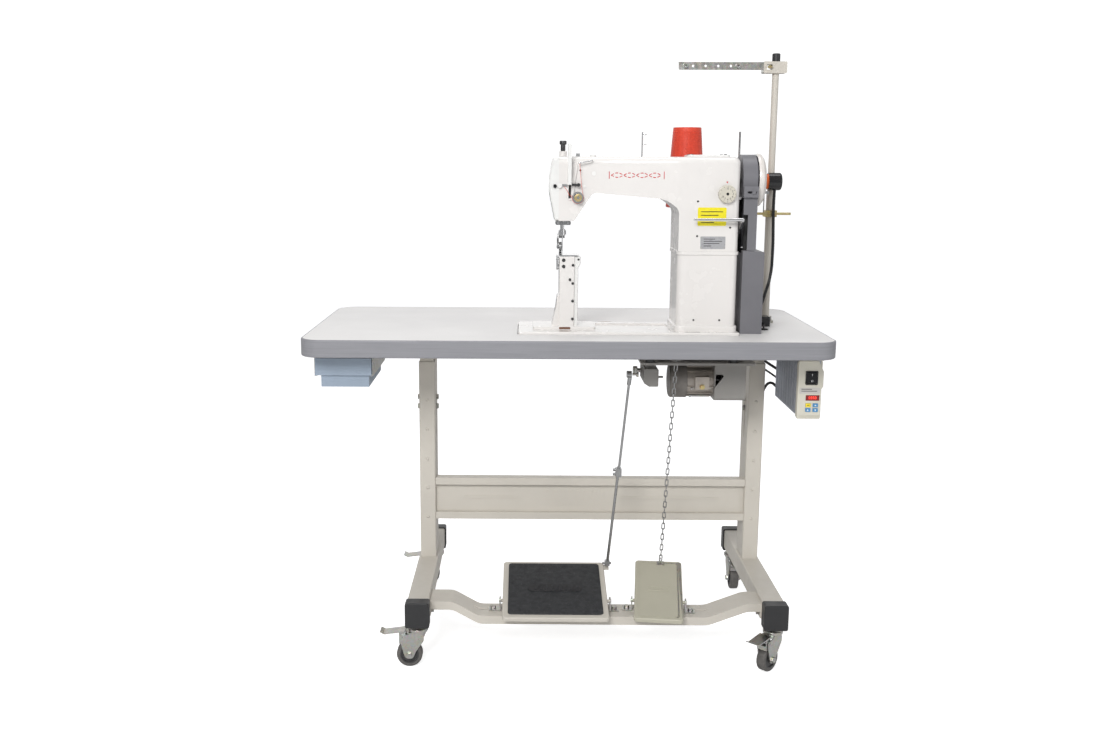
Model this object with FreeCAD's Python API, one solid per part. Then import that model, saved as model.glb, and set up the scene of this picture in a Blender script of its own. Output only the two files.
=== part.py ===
"""Post-bed roller-foot sewing machine for leather, on its wheeled table.

Millimetres. X runs to the operator's right, Y away from the operator, Z up.
The model is laid out with X = 0 on the table's centre line, Y = 0 at the table's
front edge and Z = 0 on the floor. On export every solid is shifted back along Y,
so that the origin is the middle of the footprint on the floor.
"""
import FreeCAD, Part

import math
import os

V = FreeCAD.Vector

# ---- driving dimensions ------------------------------------------------------
FOOTPRINT_MIDDLE_Y = 272.58     # middle of the whole machine's depth

TABLE_LENGTH = 1200.0
TABLE_DEPTH = 600.0
TABLE_THICKNESS = 40.0
TABLE_TOP = 770.0
TABLE_CORNER = 50.0
EDGE_BAND = 4.0
TABLE_UNDER = TABLE_TOP - TABLE_THICKNESS
HALF_TABLE = TABLE_LENGTH / 2

LEG_X = (-341.0, 483.0)         # leg centre lines
LEG_WIDTH = 40.0
LEG_FRONT_Y = 310.0
LEG_DEPTH = 80.0
LEG_TOP = 668.0
FOOT_SIZE = 50.0
FOOT_BOTTOM = 110.0
FOOT_TOP = FOOT_BOTTOM + FOOT_SIZE
FOOT_Y = (-10.0, 565.0)
TUBE_WALL = 2.5
CAP_WALL = 3.0
CAP_LENGTH = 28.0
CAP_BOTTOM = 102.0

CASTER_Y = (18.0, 540.0)        # swivel axes, front and rear
CASTER_TRAIL = 20.0
WHEEL_RADIUS = 30.0
WHEEL_WIDTH = 22.0
AXLE_RADIUS = 4.0
STEM_RADIUS = 6.0
RUNNING_GAP = 0.05
CASTER_HEADINGS = {             # direction in which each wheel trails, degrees from +X
    "front_left": 180.0,
    "front_right": 225.0,
    "rear_left": 180.0,
    "rear_right": 270.0,
}

BED_Y = 190.0                   # centre line of bed, arm and needle
BED_X = (-112.0, 395.0)
BED_WIDTH = 178.0
BED_TOP = 776.0
NEEDLE_X = -10.5
SHAFT_Z = 1120.0
LOWER_SHAFT_Z = 748.0
POST_TOP = 948.0
POST_X = (-17.5, 17.5)
POST_FRONT_Y = 150.0
POST_BACK_Y = 226.0
COLUMN_X = (251.0, 388.0)
COLUMN_Y = (119.0, 261.0)
SEAM_Z = 960.0
ARM_TOP = 1172.0
HEAD_FRONT_Y = 142.0
HEAD_BACK_Y = 238.0
HEAD_BOTTOM = 1027.0
HOOK_X = 6.0
HOOK_Y = 194.0

HANDWHEEL_RADIUS = 61.0
BELT_X = 409.0
MACHINE_PULLEY_RADIUS = 45.0
MOTOR_PULLEY_RADIUS = 30.0
MOTOR_Y = 200.0
MOTOR_Z = 647.0
MOUNT_PLATE_Z = 704.0

PEDAL_BEAM_Y = (33.0, 109.0)
BEAM_TOP_ENDS = 150.0
BEAM_TOP_MIDDLE = 115.6
BEAM_LIP = 20.0
PEDAL_PIVOT_Y = 75.0
PEDAL_PIVOT_Z = 137.0
TREADLE_X = (-146.0, 102.0)
TREADLE_DEPTH = 235.0
TREADLE_TILT = 13.0
LIFT_PEDAL_X = (166.0, 280.0)
LIFT_PEDAL_YAW = -6.0
PEDAL_THICKNESS = 10.0

SPEED_SHAFT_Y = 235.0
SPEED_SHAFT_Z = 664.0
SPEED_ARM = 70.0
BALL_Y = SPEED_SHAFT_Y - SPEED_ARM

DRAWER_X = (-560.0, -451.0)
DRAWER_Y = (60.0, 285.0)
DRAWER_BOTTOM = 653.0

PANEL_Y = (130.0, 138.0)
ROCKER_Z = 667.0
ROCKER_X = 572.0
KEYS = {
    "program_key": (566.5, 602.0),
    "up_key": (583.5, 602.0),
    "shift_key": (566.5, 590.5),
    "down_key": (583.5, 590.5),
}
KEY_SIZE = (12.0, 8.6)

COLUMN_WALL = 9.0
CROWN_RADIUS = 15.0

PRESSER_Y = 208.0
TAKE_UP_X = (1.9, 5.7)
TAKE_UP_Y = 214.0
TAKE_UP_Z = 1134.0
TAKE_UP_REACH = 80.0
TAKE_UP_RISE = 22.0
DIAL_X = 357.0
DIAL_Z = 1090.0
REVERSE_Y = 150.0
REVERSE_Z = 1008.0
TENSION_X = 22.0
TENSION_Z = 1080.0
SHEET_GUIDE_Z = 1108.5
COLUMN_HOLES = ((292.5, 1073), (293, 995), (367, 1014.5))

FEED_WHEEL_RADIUS = 16.0
FEED_WHEEL_Z = 937.5
ROLLER_RADIUS = 11.0
ROLLER_Z = FEED_WHEEL_Z + FEED_WHEEL_RADIUS + ROLLER_RADIUS + 0.3
WHEEL_X = (-18.0, -12.2)
POST_SCREWS = ((-8, 936.5, 4.0), (-8, 922, 4.0), (13.8, 925, 3.2), (7, 891.5, 3.2), (13.4, 883, 3.2),
               (13.6, 842, 3.2), (13.8, 800, 3.2))         # x, z and head radius

SPROCKET_X = (331.0, 345.0)
SPROCKET_RADIUS = 20.0

BAR_Z = 1038.0
PIN_X = (291.0, 418.0)

ROD_FOOT_Y = 216.0

CHAIN_FOOT_Y = 228.0
CHAIN_TOP = (254.0, 117.0, 712.0)
CHAIN_LINK = 15.0

LAMP_X = (485.0, 517.0)
POLE_X = 500.0
POLE_Y = 330.0
POLE_RADIUS = 8.0
POLE_TOP = 1402.0


# ---- small geometry helpers --------------------------------------------------
def box(x0, x1, y0, y1, z0, z1):
    return Part.makeBox(x1 - x0, y1 - y0, z1 - z0, V(x0, y0, z0))


def rod(start, end, radius):
    a, b = V(*start), V(*end)
    return Part.makeCylinder(radius, (b - a).Length, a, b - a)


def ring(start, end, outer, inner):
    return rod(start, end, outer).cut(rod(start, end, inner))


def ball(centre, radius):
    return Part.makeSphere(radius, V(*centre))


def group(solids):
    return Part.makeCompound(list(solids))


def fuse(shapes):
    first, *rest = shapes
    return first.multiFuse(rest).removeSplitter() if rest else first


def turned(shape, angle, centre, axis=(0, 0, 1)):
    copy = shape.copy()
    copy.rotate(V(*centre), V(*axis), angle)
    return copy


def moved(shape, x=0.0, y=0.0, z=0.0):
    copy = shape.copy()
    copy.translate(V(x, y, z))
    return copy


def outline(points, plane):
    """A closed outline in a plane. A third number on a point rounds that corner."""
    place = {"xy": lambda a, b: V(a, b, 0),
             "xz": lambda a, b: V(a, 0, b),
             "yz": lambda a, b: V(0, a, b)}[plane]
    corners = []
    count = len(points)
    for i, point in enumerate(points):
        here = place(point[0], point[1])
        radius = point[2] if len(point) > 2 else 0.0
        if not radius:
            corners.append((here, None, here))
            continue
        before = place(*points[i - 1][:2])
        after = place(*points[(i + 1) % count][:2])
        u = (before - here).normalize()
        v = (after - here).normalize()
        half = u.getAngle(v) / 2
        setback = radius / math.tan(half)
        middle = (u + v).normalize()
        reach = radius / math.sin(half) - radius
        corners.append((here + u * setback, here + middle * reach, here + v * setback))
    edges = []
    for i, (start, through, end) in enumerate(corners):
        if through is not None:
            edges.append(Part.Arc(start, through, end).toShape())
        following = corners[(i + 1) % count][0]
        if (following - end).Length > 1e-6:
            edges.append(Part.LineSegment(end, following).toShape())
    return Part.Face(Part.Wire(edges))


def slab_xy(points, z0, z1):
    return moved(outline(points, "xy"), z=z0).extrude(V(0, 0, z1 - z0))


def slab_xz(points, y0, y1):
    return moved(outline(points, "xz"), y=y0).extrude(V(0, y1 - y0, 0))


def slab_yz(points, x0, x1):
    return moved(outline(points, "yz"), x=x0).extrude(V(x1 - x0, 0, 0))


def rectangle(a0, a1, b0, b1, radius=0.0):
    return [(a0, b0, radius), (a1, b0, radius), (a1, b1, radius), (a0, b1, radius)]


def hex_prism(centre, axis, across, height):
    """A hexagonal head or nut that grows from centre along axis ("x", "y" or "z")."""
    corner = across / math.sqrt(3)
    points = [(corner * math.cos(math.radians(a)), corner * math.sin(math.radians(a)))
              for a in range(0, 360, 60)]
    plane = {"z": "xy", "y": "xz", "x": "yz"}[axis]
    way = {"z": V(0, 0, height), "y": V(0, height, 0), "x": V(height, 0, 0)}[axis]
    return moved(outline(points, plane).extrude(way), *centre)


def rounded(shape, radius, chosen):
    """Fillet the edges for which chosen(edge) is true."""
    return shape.makeFillet(radius, [edge for edge in shape.Edges if chosen(edge)])


def runs_along(edge, axis):
    if not isinstance(edge.Curve, (Part.Line, Part.LineSegment)):
        return False
    way = edge.tangentAt(edge.FirstParameter)
    return abs(abs(way.dot(V(*axis))) - 1) < 1e-6


def along(axis):
    """Chooses the straight edges that run along an axis."""
    return lambda edge: runs_along(edge, axis)


def at(axis, *values, longer=0.0):
    """Chooses the edges whose middle lies at one of the values on an axis."""
    def chosen(edge):
        middle = getattr(edge.CenterOfMass, axis)
        return edge.Length > longer and any(abs(middle - value) < 0.1 for value in values)
    return chosen


def longer_than(length):
    return lambda edge: edge.Length > length


def either(*tests):
    return lambda edge: any(test(edge) for test in tests)


def bent_tube(route, radius, name=None):
    """A round tube along straight runs joined by tangent arcs."""
    points = [V(*p) for p in route]
    edges = []
    radii = []
    last = points[0]
    for i in range(1, len(points) - 1):
        here = points[i]
        u = (points[i - 1] - here)
        v = (points[i + 1] - here)
        shorter = min(u.Length, v.Length)
        u.normalize()
        v.normalize()
        half = u.getAngle(v) / 2
        setback = 0.45 * shorter
        bend = setback * math.tan(half)
        radii.append(bend)
        middle = (u + v).normalize()
        through = here + middle * (bend / math.sin(half) - bend)
        start, end = here + u * setback, here + v * setback
        edges.append(Part.LineSegment(last, start).toShape())
        edges.append(Part.Arc(start, through, end).toShape())
        last = end
    edges.append(Part.LineSegment(last, points[-1]).toShape())
    path = Part.Wire(edges)
    section = Part.Wire([Part.makeCircle(radius, points[0], points[1] - points[0])])
    tube = path.makePipeShell([section], True, False)
    if name:
        expected = math.pi * radius ** 2 * path.Length
        smallest = min(radii) if radii else 0.0
        print(f"{name}: length {path.Length:.1f}, volume ratio {tube.Volume / expected:.4f}, "
              f"smallest bend {smallest:.1f}, bends {[round(r, 1) for r in radii]}")
    return tube


# ---- table -------------------------------------------------------------------
def table_cutouts():
    """Bed opening, finger notch behind it, belt slot and the hole for the lamp's lead."""
    gap = 1.5
    bed = slab_xy(rectangle(BED_X[0] - gap, BED_X[1] + gap, BED_Y - BED_WIDTH / 2 - gap,
                            BED_Y + BED_WIDTH / 2 + gap, 8.0), TABLE_UNDER - 1, TABLE_TOP + 1)
    notch = rod((102, BED_Y + BED_WIDTH / 2 + 4, TABLE_UNDER - 1),
                (102, BED_Y + BED_WIDTH / 2 + 4, TABLE_TOP + 1), 42)
    belt_slot = box(BED_X[1], BELT_X + 11, 150, 243, TABLE_UNDER - 1, TABLE_TOP + 1)
    lead_hole = rod((470, 198, TABLE_UNDER - 1), (470, 198, TABLE_TOP + 1), 7)
    return [bed, notch, belt_slot, lead_hole]


def table_top():
    half, band = HALF_TABLE - EDGE_BAND, EDGE_BAND
    board = slab_xy(rectangle(-half, half, band, TABLE_DEPTH - band, TABLE_CORNER - band), TABLE_UNDER,
                    TABLE_TOP)
    for hole in table_cutouts():
        board = board.cut(hole)
    return board


def edge_band():
    outer = slab_xy(rectangle(-HALF_TABLE, HALF_TABLE, 0, TABLE_DEPTH, TABLE_CORNER), TABLE_UNDER,
                    TABLE_TOP)
    outer = rounded(outer, 3.0, at("z", TABLE_TOP, TABLE_UNDER))
    half, band = HALF_TABLE - EDGE_BAND, EDGE_BAND
    inner = slab_xy(rectangle(-half, half, band, TABLE_DEPTH - band, TABLE_CORNER - band), TABLE_UNDER - 1,
                    TABLE_TOP + 1)
    return outer.cut(inner)


# ---- stand -------------------------------------------------------------------
def t_leg(x):
    """The two tubes of a T-leg: the foot, and the column that stands behind its middle."""
    half = FOOT_SIZE / 2
    foot = slab_xz(rectangle(x - half, x + half, FOOT_BOTTOM, FOOT_TOP, 4.0), *FOOT_Y)
    bore = slab_xz(rectangle(x - half + TUBE_WALL, x + half - TUBE_WALL, FOOT_BOTTOM + TUBE_WALL,
                             FOOT_TOP - TUBE_WALL, 2.0), FOOT_Y[0] - 1, FOOT_Y[1] + 1)
    foot = foot.cut(bore)
    for y in CASTER_Y:
        foot = foot.cut(rod((x, y, FOOT_BOTTOM - 1), (x, y, FOOT_BOTTOM + TUBE_WALL + 1),
                            STEM_RADIUS + 0.2))
    side = LEG_WIDTH / 2
    back = LEG_FRONT_Y + LEG_DEPTH
    column = slab_xy(rectangle(x - side, x + side, LEG_FRONT_Y, back, 4.0), FOOT_TOP, LEG_TOP)
    hollow = slab_xy(rectangle(x - side + TUBE_WALL, x + side - TUBE_WALL, LEG_FRONT_Y + TUBE_WALL,
                               back - TUBE_WALL, 2.0), FOOT_TOP - 1, LEG_TOP + 1)
    slot = slab_yz([(y, z, 4.0) for y, z in ((346, 470), (354, 470), (354, 590), (346, 590))], x - 50,
                   x + 50)
    dimples = [ball((x, LEG_FRONT_Y + 1.0, LEG_TOP - 97 - 76 * i), 4.0) for i in range(5)]
    column = fuse([column] + dimples).cut(hollow).cut(slot)
    return [foot, column]


def leg_riser(x):
    """The inner tube that carries the table, with its cross arm under the board."""
    side = LEG_WIDTH / 2 - TUBE_WALL - 0.5
    front, back = LEG_FRONT_Y + TUBE_WALL + 0.5, LEG_FRONT_Y + LEG_DEPTH - TUBE_WALL - 0.5
    tube = slab_xy(rectangle(x - side, x + side, front, back, 2.0), 520, TABLE_UNDER - 14)
    tube = tube.cut(slab_xy(rectangle(x - side + 2, x + side - 2, front + 2, back - 2), 519, TABLE_UNDER))
    arm_y = (90, 530)
    arm = box(x - 22, x + 22, *arm_y, TABLE_UNDER - 14, TABLE_UNDER)
    arm = arm.cut(box(x - 19.5, x + 19.5, arm_y[0] - 1, arm_y[1] + 1, TABLE_UNDER - 11.5, TABLE_UNDER + 1))
    flanges = [box(x + s * 22 + min(0, s * 14), x + s * 22 + max(0, s * 14), *arm_y, TABLE_UNDER - 2.5,
                   TABLE_UNDER)
               for s in (-1, 1)]
    for y in (120, 500):
        for i, s in enumerate((-1, 1)):
            flanges[i] = flanges[i].cut(rod((x + s * 29, y, TABLE_UNDER - 4),
                                            (x + s * 29, y, TABLE_UNDER + 1), 3.2))
    return [tube, fuse([arm] + flanges)]


def stand_legs():
    return group([tube for x in LEG_X for make in (t_leg, leg_riser) for tube in make(x)])


def foot_cap(x, end_y, way, swivel_y):
    """A black end cap over the foot tube. way is -1 at the front and 1 at the rear."""
    outer_half = FOOT_SIZE / 2 + CAP_WALL
    inner_y = end_y - way * CAP_LENGTH
    y0, y1 = sorted((inner_y, end_y + way * CAP_WALL))
    shell = slab_xz(rectangle(x - outer_half, x + outer_half, CAP_BOTTOM, FOOT_TOP + CAP_WALL, 5.0), y0, y1)
    shell = rounded(shell, 2.0, at("y", end_y + way * CAP_WALL))
    half = FOOT_SIZE / 2
    pocket_y = sorted((inner_y - way, end_y))
    shell = shell.cut(slab_xz(rectangle(x - half, x + half, FOOT_BOTTOM, FOOT_TOP, 4.0), *pocket_y))
    return shell.cut(rod((x, swivel_y, CAP_BOTTOM - 1), (x, swivel_y, FOOT_BOTTOM + 1), STEM_RADIUS + 0.2))


def foot_caps():
    caps = []
    for x in LEG_X:
        caps.append(foot_cap(x, FOOT_Y[0], -1, CASTER_Y[0]))
        caps.append(foot_cap(x, FOOT_Y[1], 1, CASTER_Y[1]))
    return group(caps)


def stretcher():
    """A folded sheet channel between the columns, with pressed grooves and ribs."""
    x0, x1 = LEG_X[0] + LEG_WIDTH / 2, LEG_X[1] - LEG_WIDTH / 2
    y, z0, z1, sheet = 322.0, 262.0, 370.0, 2.0
    web = box(x0, x1, y, y + sheet, z0 + 6, z1 - 6)
    parts = [web]
    for z, way in ((z1, -1), (z0, 1)):
        low, high = sorted((z, z + way * sheet))
        parts.append(box(x0, x1, y - 12, y + 16, low, high))
        low, high = sorted((z, z + way * 18))
        parts.append(box(x0, x1, y - 12, y - 12 + sheet, low, high))
        low, high = sorted((z + way * 18, z + way * (18 - sheet)))
        parts.append(box(x0, x1, y - 12, y + sheet, low, high))
    for x, way in ((x0, 1), (x1, -1)):
        low, high = sorted((x, x + way * sheet))
        parts.append(box(low, high, y, y + 30, z0 + 22, z1 - 22))
    middle = (z0 + z1) / 2
    for start, end in ((-250, -112), (150, 400)):
        parts.append(slab_xz(rectangle(start, end, middle - 3, middle + 3, 2.9), y - 1.5, y + 0.5))
    for i in range(8):
        x = -42 + 20 * i
        parts.append(slab_xz(rectangle(x, x + 10, middle - 18, middle + 18, 4.0), y - 1.5, y + 0.5))
    return fuse(parts)


def pedal_beam():
    """The dipped cross channel between the feet that carries both pedals."""
    x0, x1 = LEG_X[0] + FOOT_SIZE / 2, LEG_X[1] - FOOT_SIZE / 2
    sheet = 2.5
    top = [(x0, BEAM_TOP_ENDS), (-262, BEAM_TOP_ENDS, 40), (-200, BEAM_TOP_MIDDLE, 40),
           (335, BEAM_TOP_MIDDLE, 60), (425, BEAM_TOP_ENDS, 60), (x1, BEAM_TOP_ENDS)]

    def band(drop):
        lower = [(p[0], p[1] - drop) + tuple(p[2:]) for p in reversed(top)]
        return top + lower

    y0, y1 = PEDAL_BEAM_Y
    beam = fuse([slab_xz(band(sheet), y0, y1), slab_xz(band(BEAM_LIP), y0, y0 + sheet),
                 slab_xz(band(BEAM_LIP), y1 - sheet, y1)])
    for start, end in ((-215, 120), (134, 340)):
        slot = slab_xy(rectangle(start, end, 71, 79, 3.9), 60, 160)
        beam = beam.cut(slot)
    flange = [box(x0, x0 + sheet, y0, y1, FOOT_BOTTOM + 4, BEAM_TOP_ENDS),
              box(x1 - sheet, x1, y0, y1, FOOT_BOTTOM + 4, BEAM_TOP_ENDS)]
    return fuse([beam] + flange)


def zinc_bolt(centre, axis, way, head=8.0, shank=0.0):
    """A hexagon bolt head with its washer. way is the direction the head points."""
    height = 5.0
    unit = {"x": V(1, 0, 0), "y": V(0, 1, 0), "z": V(0, 0, 1)}[axis] * way
    base = V(*centre)
    washer_top = base + unit * 1.2
    washer = rod(tuple(base), tuple(washer_top), head * 0.95)
    corner = hex_prism(tuple(washer_top), axis, head * 1.55, height * way)
    parts = [washer, corner]
    if shank:
        parts.append(rod(tuple(base - unit * shank), tuple(washer_top), 3.0))
    return fuse(parts)


def pedal_bracket(x):
    """An L-shaped ear on the beam that holds one end of a pedal's pivot."""
    z0 = BEAM_TOP_MIDDLE
    foot = box(x - 2, x + 2, PEDAL_PIVOT_Y - 14, PEDAL_PIVOT_Y + 14, z0, z0 + 3)
    ear = slab_yz([(PEDAL_PIVOT_Y - 14, z0), (PEDAL_PIVOT_Y + 14, z0),
                   (PEDAL_PIVOT_Y + 9, PEDAL_PIVOT_Z + 9, 6), (PEDAL_PIVOT_Y - 9, PEDAL_PIVOT_Z + 9, 6)],
                  x - 1.5, x + 1.5)
    bore = rod((x - 5, PEDAL_PIVOT_Y, PEDAL_PIVOT_Z), (x + 5, PEDAL_PIVOT_Y, PEDAL_PIVOT_Z),
               4.0 + RUNNING_GAP)
    return fuse([foot, ear]).cut(bore)


def bracket_foot(x_ear, x_bolt):
    """The bolted foot of a pedal bracket, standing over the beam's slot."""
    past_bolt = x_bolt + math.copysign(10, x_bolt - x_ear)
    low, high = sorted((x_ear, past_bolt))
    plate = box(low, high, PEDAL_PIVOT_Y - 14, PEDAL_PIVOT_Y + 14, BEAM_TOP_MIDDLE, BEAM_TOP_MIDDLE + 3)
    return plate, zinc_bolt((x_bolt, PEDAL_PIVOT_Y, BEAM_TOP_MIDDLE + 3), "z", 1, 7.0, 3.0)


def pedal_brackets():
    ears = []
    for x, bolt_x in ((TREADLE_X[0] - 6, TREADLE_X[0] - 22), (TREADLE_X[1] + 6, TREADLE_X[1] + 16)):
        plate, bolt = bracket_foot(x, bolt_x)
        ears.append(fuse([pedal_bracket(x), plate, bolt]))
    middle = sum(LIFT_PEDAL_X) / 2
    for x, bolt_x in ((LIFT_PEDAL_X[0] - 6, LIFT_PEDAL_X[0] - 18),
                      (LIFT_PEDAL_X[1] + 6, LIFT_PEDAL_X[1] + 18)):
        plate, bolt = bracket_foot(x, bolt_x)
        ears.append(turned(fuse([pedal_bracket(x), plate, bolt]), LIFT_PEDAL_YAW,
                           (middle, PEDAL_PIVOT_Y, 0)))
    return ears


def caster_stem(x, y):
    """What stays still in a caster: threaded stem, nut and the swivel's upper race."""
    race = rounded(rod((x, y, 88), (x, y, 94), 23), 1.5, at("z", 94))
    parts = [race, hex_prism((x, y, 94), "z", 17, 8), rod((x, y, 78), (x, y, 150), STEM_RADIUS),
             rod((x, y, 74), (x, y, 78), 9)]
    return fuse(parts)


def stand_hardware():
    """Zinc-plated fasteners, pedal brackets and caster stems."""
    pieces = [caster_stem(x, y) for x in LEG_X for y in CASTER_Y]
    pieces += pedal_brackets()
    for x in LEG_X:
        for way in (-1, 1):
            face = x + way * LEG_WIDTH / 2
            for z in (548, 572):
                pieces.append(zinc_bolt((face, 350, z), "x", way))
    for x, way in ((LEG_X[0] + LEG_WIDTH / 2 + 2, 1), (LEG_X[1] - LEG_WIDTH / 2 - 2, -1)):
        for z in (296, 336):
            pieces.append(zinc_bolt((x, 338, z), "x", way))
    for x, way in ((LEG_X[0] + FOOT_SIZE / 2 + 2.5, 1), (LEG_X[1] - FOOT_SIZE / 2 - 2.5, -1)):
        for y in (52, 90):
            pieces.append(zinc_bolt((x, y, 122), "x", way, 6.0))
    return group(pieces)


# ---- casters, built with the swivel axis on Z and the wheel trailing along +X ---
def place_caster(shape, name):
    x = LEG_X[0] if name.endswith("left") else LEG_X[1]
    y = CASTER_Y[0] if name.startswith("front") else CASTER_Y[1]
    return moved(turned(shape, CASTER_HEADINGS[name], (0, 0, 0)), x, y)


def caster_fork():
    cheek = [(-14, 82, 4), (18, 82, 2), (40, 78, 3), (40, 62, 6), (33, 34), (28, 22, 8), (12, 22, 8),
             (4, 40, 12), (-14, 66, 8)]
    inner = 13.5
    sheet = 2.5
    parts = [slab_xz(cheek, side, side + sheet) for side in (inner, -inner - sheet)]
    crown = slab_xy(rectangle(-18, 26, -inner - sheet, inner + sheet, 6), 82, 85)
    dome = rod((0, 0, 84.5), (0, 0, 87.5), 21)
    parts += [crown, dome, rod((CASTER_TRAIL, -20, WHEEL_RADIUS), (CASTER_TRAIL, 20, WHEEL_RADIUS),
                               AXLE_RADIUS)]
    for way in (-1, 1):
        parts.append(hex_prism((CASTER_TRAIL, way * (inner + sheet), WHEEL_RADIUS), "y", 12, way * 4.5))
    fork = fuse(parts)
    fork = fork.cut(rod((0, 0, 70), (0, 0, 95), STEM_RADIUS + RUNNING_GAP))
    return fork.cut(rod((34, -30, 72), (34, 30, 72), 2.5 + RUNNING_GAP))


def caster_wheel():
    half = WHEEL_WIDTH / 2
    a, b = (CASTER_TRAIL, -half, WHEEL_RADIUS), (CASTER_TRAIL, half, WHEEL_RADIUS)
    tyre = ring(a, b, WHEEL_RADIUS, WHEEL_RADIUS - 8)
    tyre = rounded(tyre, 4.0, longer_than(6 * WHEEL_RADIUS))
    hub = rod(a, b, WHEEL_RADIUS - 8)
    for way in (-1, 1):
        y0, y1 = sorted((way * (half - 3), way * (half + 1)))
        hub = hub.cut(ring((CASTER_TRAIL, y0, WHEEL_RADIUS), (CASTER_TRAIL, y1, WHEEL_RADIUS),
                           WHEEL_RADIUS - 11, 8.5))
    collar = rod((CASTER_TRAIL, -half - 1.5, WHEEL_RADIUS), (CASTER_TRAIL, half + 1.5, WHEEL_RADIUS), 7)
    hub = fuse([hub, collar]).cut(rod((CASTER_TRAIL, -20, WHEEL_RADIUS), (CASTER_TRAIL, 20, WHEEL_RADIUS),
                                      AXLE_RADIUS + RUNNING_GAP))
    return group([tyre, hub])


def caster_brake():
    """The foot lever that presses a shoe on the tyre; it turns on a pin in the fork."""
    lever = slab_xz([(28, 84.5), (30, 87), (78, 80.5, 8), (88, 86), (86.5, 87.5), (77.5, 83, 10),
                     (30, 89.5), (26, 86)], -15, 15)
    half = 12.5
    ears = [slab_xz([(29, 86), (44, 84), (44, 62, 3), (38, 62, 3), (28, 70, 5)], side, side + 2)
            for side in (half - 2, -half)]
    shoe = box(38, 44, -half, half, 57, 67)
    pin = rod((34, -17, 72), (34, 17, 72), 2.5)
    return fuse([lever, shoe, pin] + ears)


# ---- under the table ---------------------------------------------------------

def walls_around(outer, inner, z0, z1):
    """Four straight walls between an outer and an inner rectangle, each (x0, x1, y0, y1)."""
    return [box(outer[0], inner[0], outer[2], outer[3], z0, z1),
            box(inner[1], outer[1], outer[2], outer[3], z0, z1),
            box(inner[0], inner[1], outer[2], inner[2], z0, z1),
            box(inner[0], inner[1], inner[3], outer[3], z0, z1)]


def drawer():
    """A moulded tray with a wide rim that runs in two rails."""
    x0, x1 = DRAWER_X
    y0, y1 = DRAWER_Y
    rim_z = 681.0
    low = (x0, x1, y0 + 5, y1 - 8)
    high = (x0 - 13, x1 + 6, y0, y1)
    opening = (x0 + 3, x1 - 3, y0 + 8, y1 - 11)
    wide_opening = (x0 - 9, x1 + 2, y0 + 4, y1 - 4)
    floor = box(*low, DRAWER_BOTTOM, DRAWER_BOTTOM + 3)
    return group([floor] + walls_around(low, opening, DRAWER_BOTTOM + 3, rim_z - 1)
                 + walls_around(high, opening, rim_z - 1, rim_z + 3)
                 + walls_around(high, wide_opening, rim_z + 3, 719))


def drawer_rails():
    rails = []
    for x, way in ((DRAWER_X[0] - 13, -1), (DRAWER_X[1] + 6, 1)):
        wall = sorted((x + way * 1.0, x + way * 3.0))
        lip = sorted((x - way * 3.0, x + way * 3.0))
        top = sorted((x + way * 1.0, x + way * 15.0))
        rails.append(fuse([box(*wall, 70, 290, 678, TABLE_UNDER), box(*lip, 70, 290, 677, 679.6),
                           box(*top, 70, 290, TABLE_UNDER - 3, TABLE_UNDER)]))
    return rails


def motor_mount():
    """The plate that hangs the motor and speed unit from the table on rubber blocks."""
    x0, x1, y0, y1 = 169, 431, 78, 301
    plate = slab_xy(rectangle(x0, x1, y0, y1, 6), MOUNT_PLATE_Z, MOUNT_PLATE_Z + 5)
    plate = plate.cut(box(BELT_X - 9, BELT_X + 9, MOTOR_Y - 48, MOTOR_Y + 48, MOUNT_PLATE_Z - 1,
                          MOUNT_PLATE_Z + 6))
    plate = plate.cut(rod((254, 117, MOUNT_PLATE_Z - 1), (254, 117, MOUNT_PLATE_Z + 6), 14))
    blocks = [rod((x, y, MOUNT_PLATE_Z + 5), (x, y, TABLE_UNDER), 10) for x in (190, 380)
              for y in (89, 290)]
    hanger = box(296, 330, MOTOR_Y - 20, MOTOR_Y + 20, MOTOR_Z + 38.6, MOUNT_PLATE_Z)
    return [plate] + blocks + [hanger]


def under_table_brackets():
    box_bracket = box(541, 599, 132, 372, 707,
                      TABLE_UNDER).cut(box(545, 595, 131, 373, 711, TABLE_UNDER - 3))
    return group(drawer_rails() + motor_mount() + [box_bracket])


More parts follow.
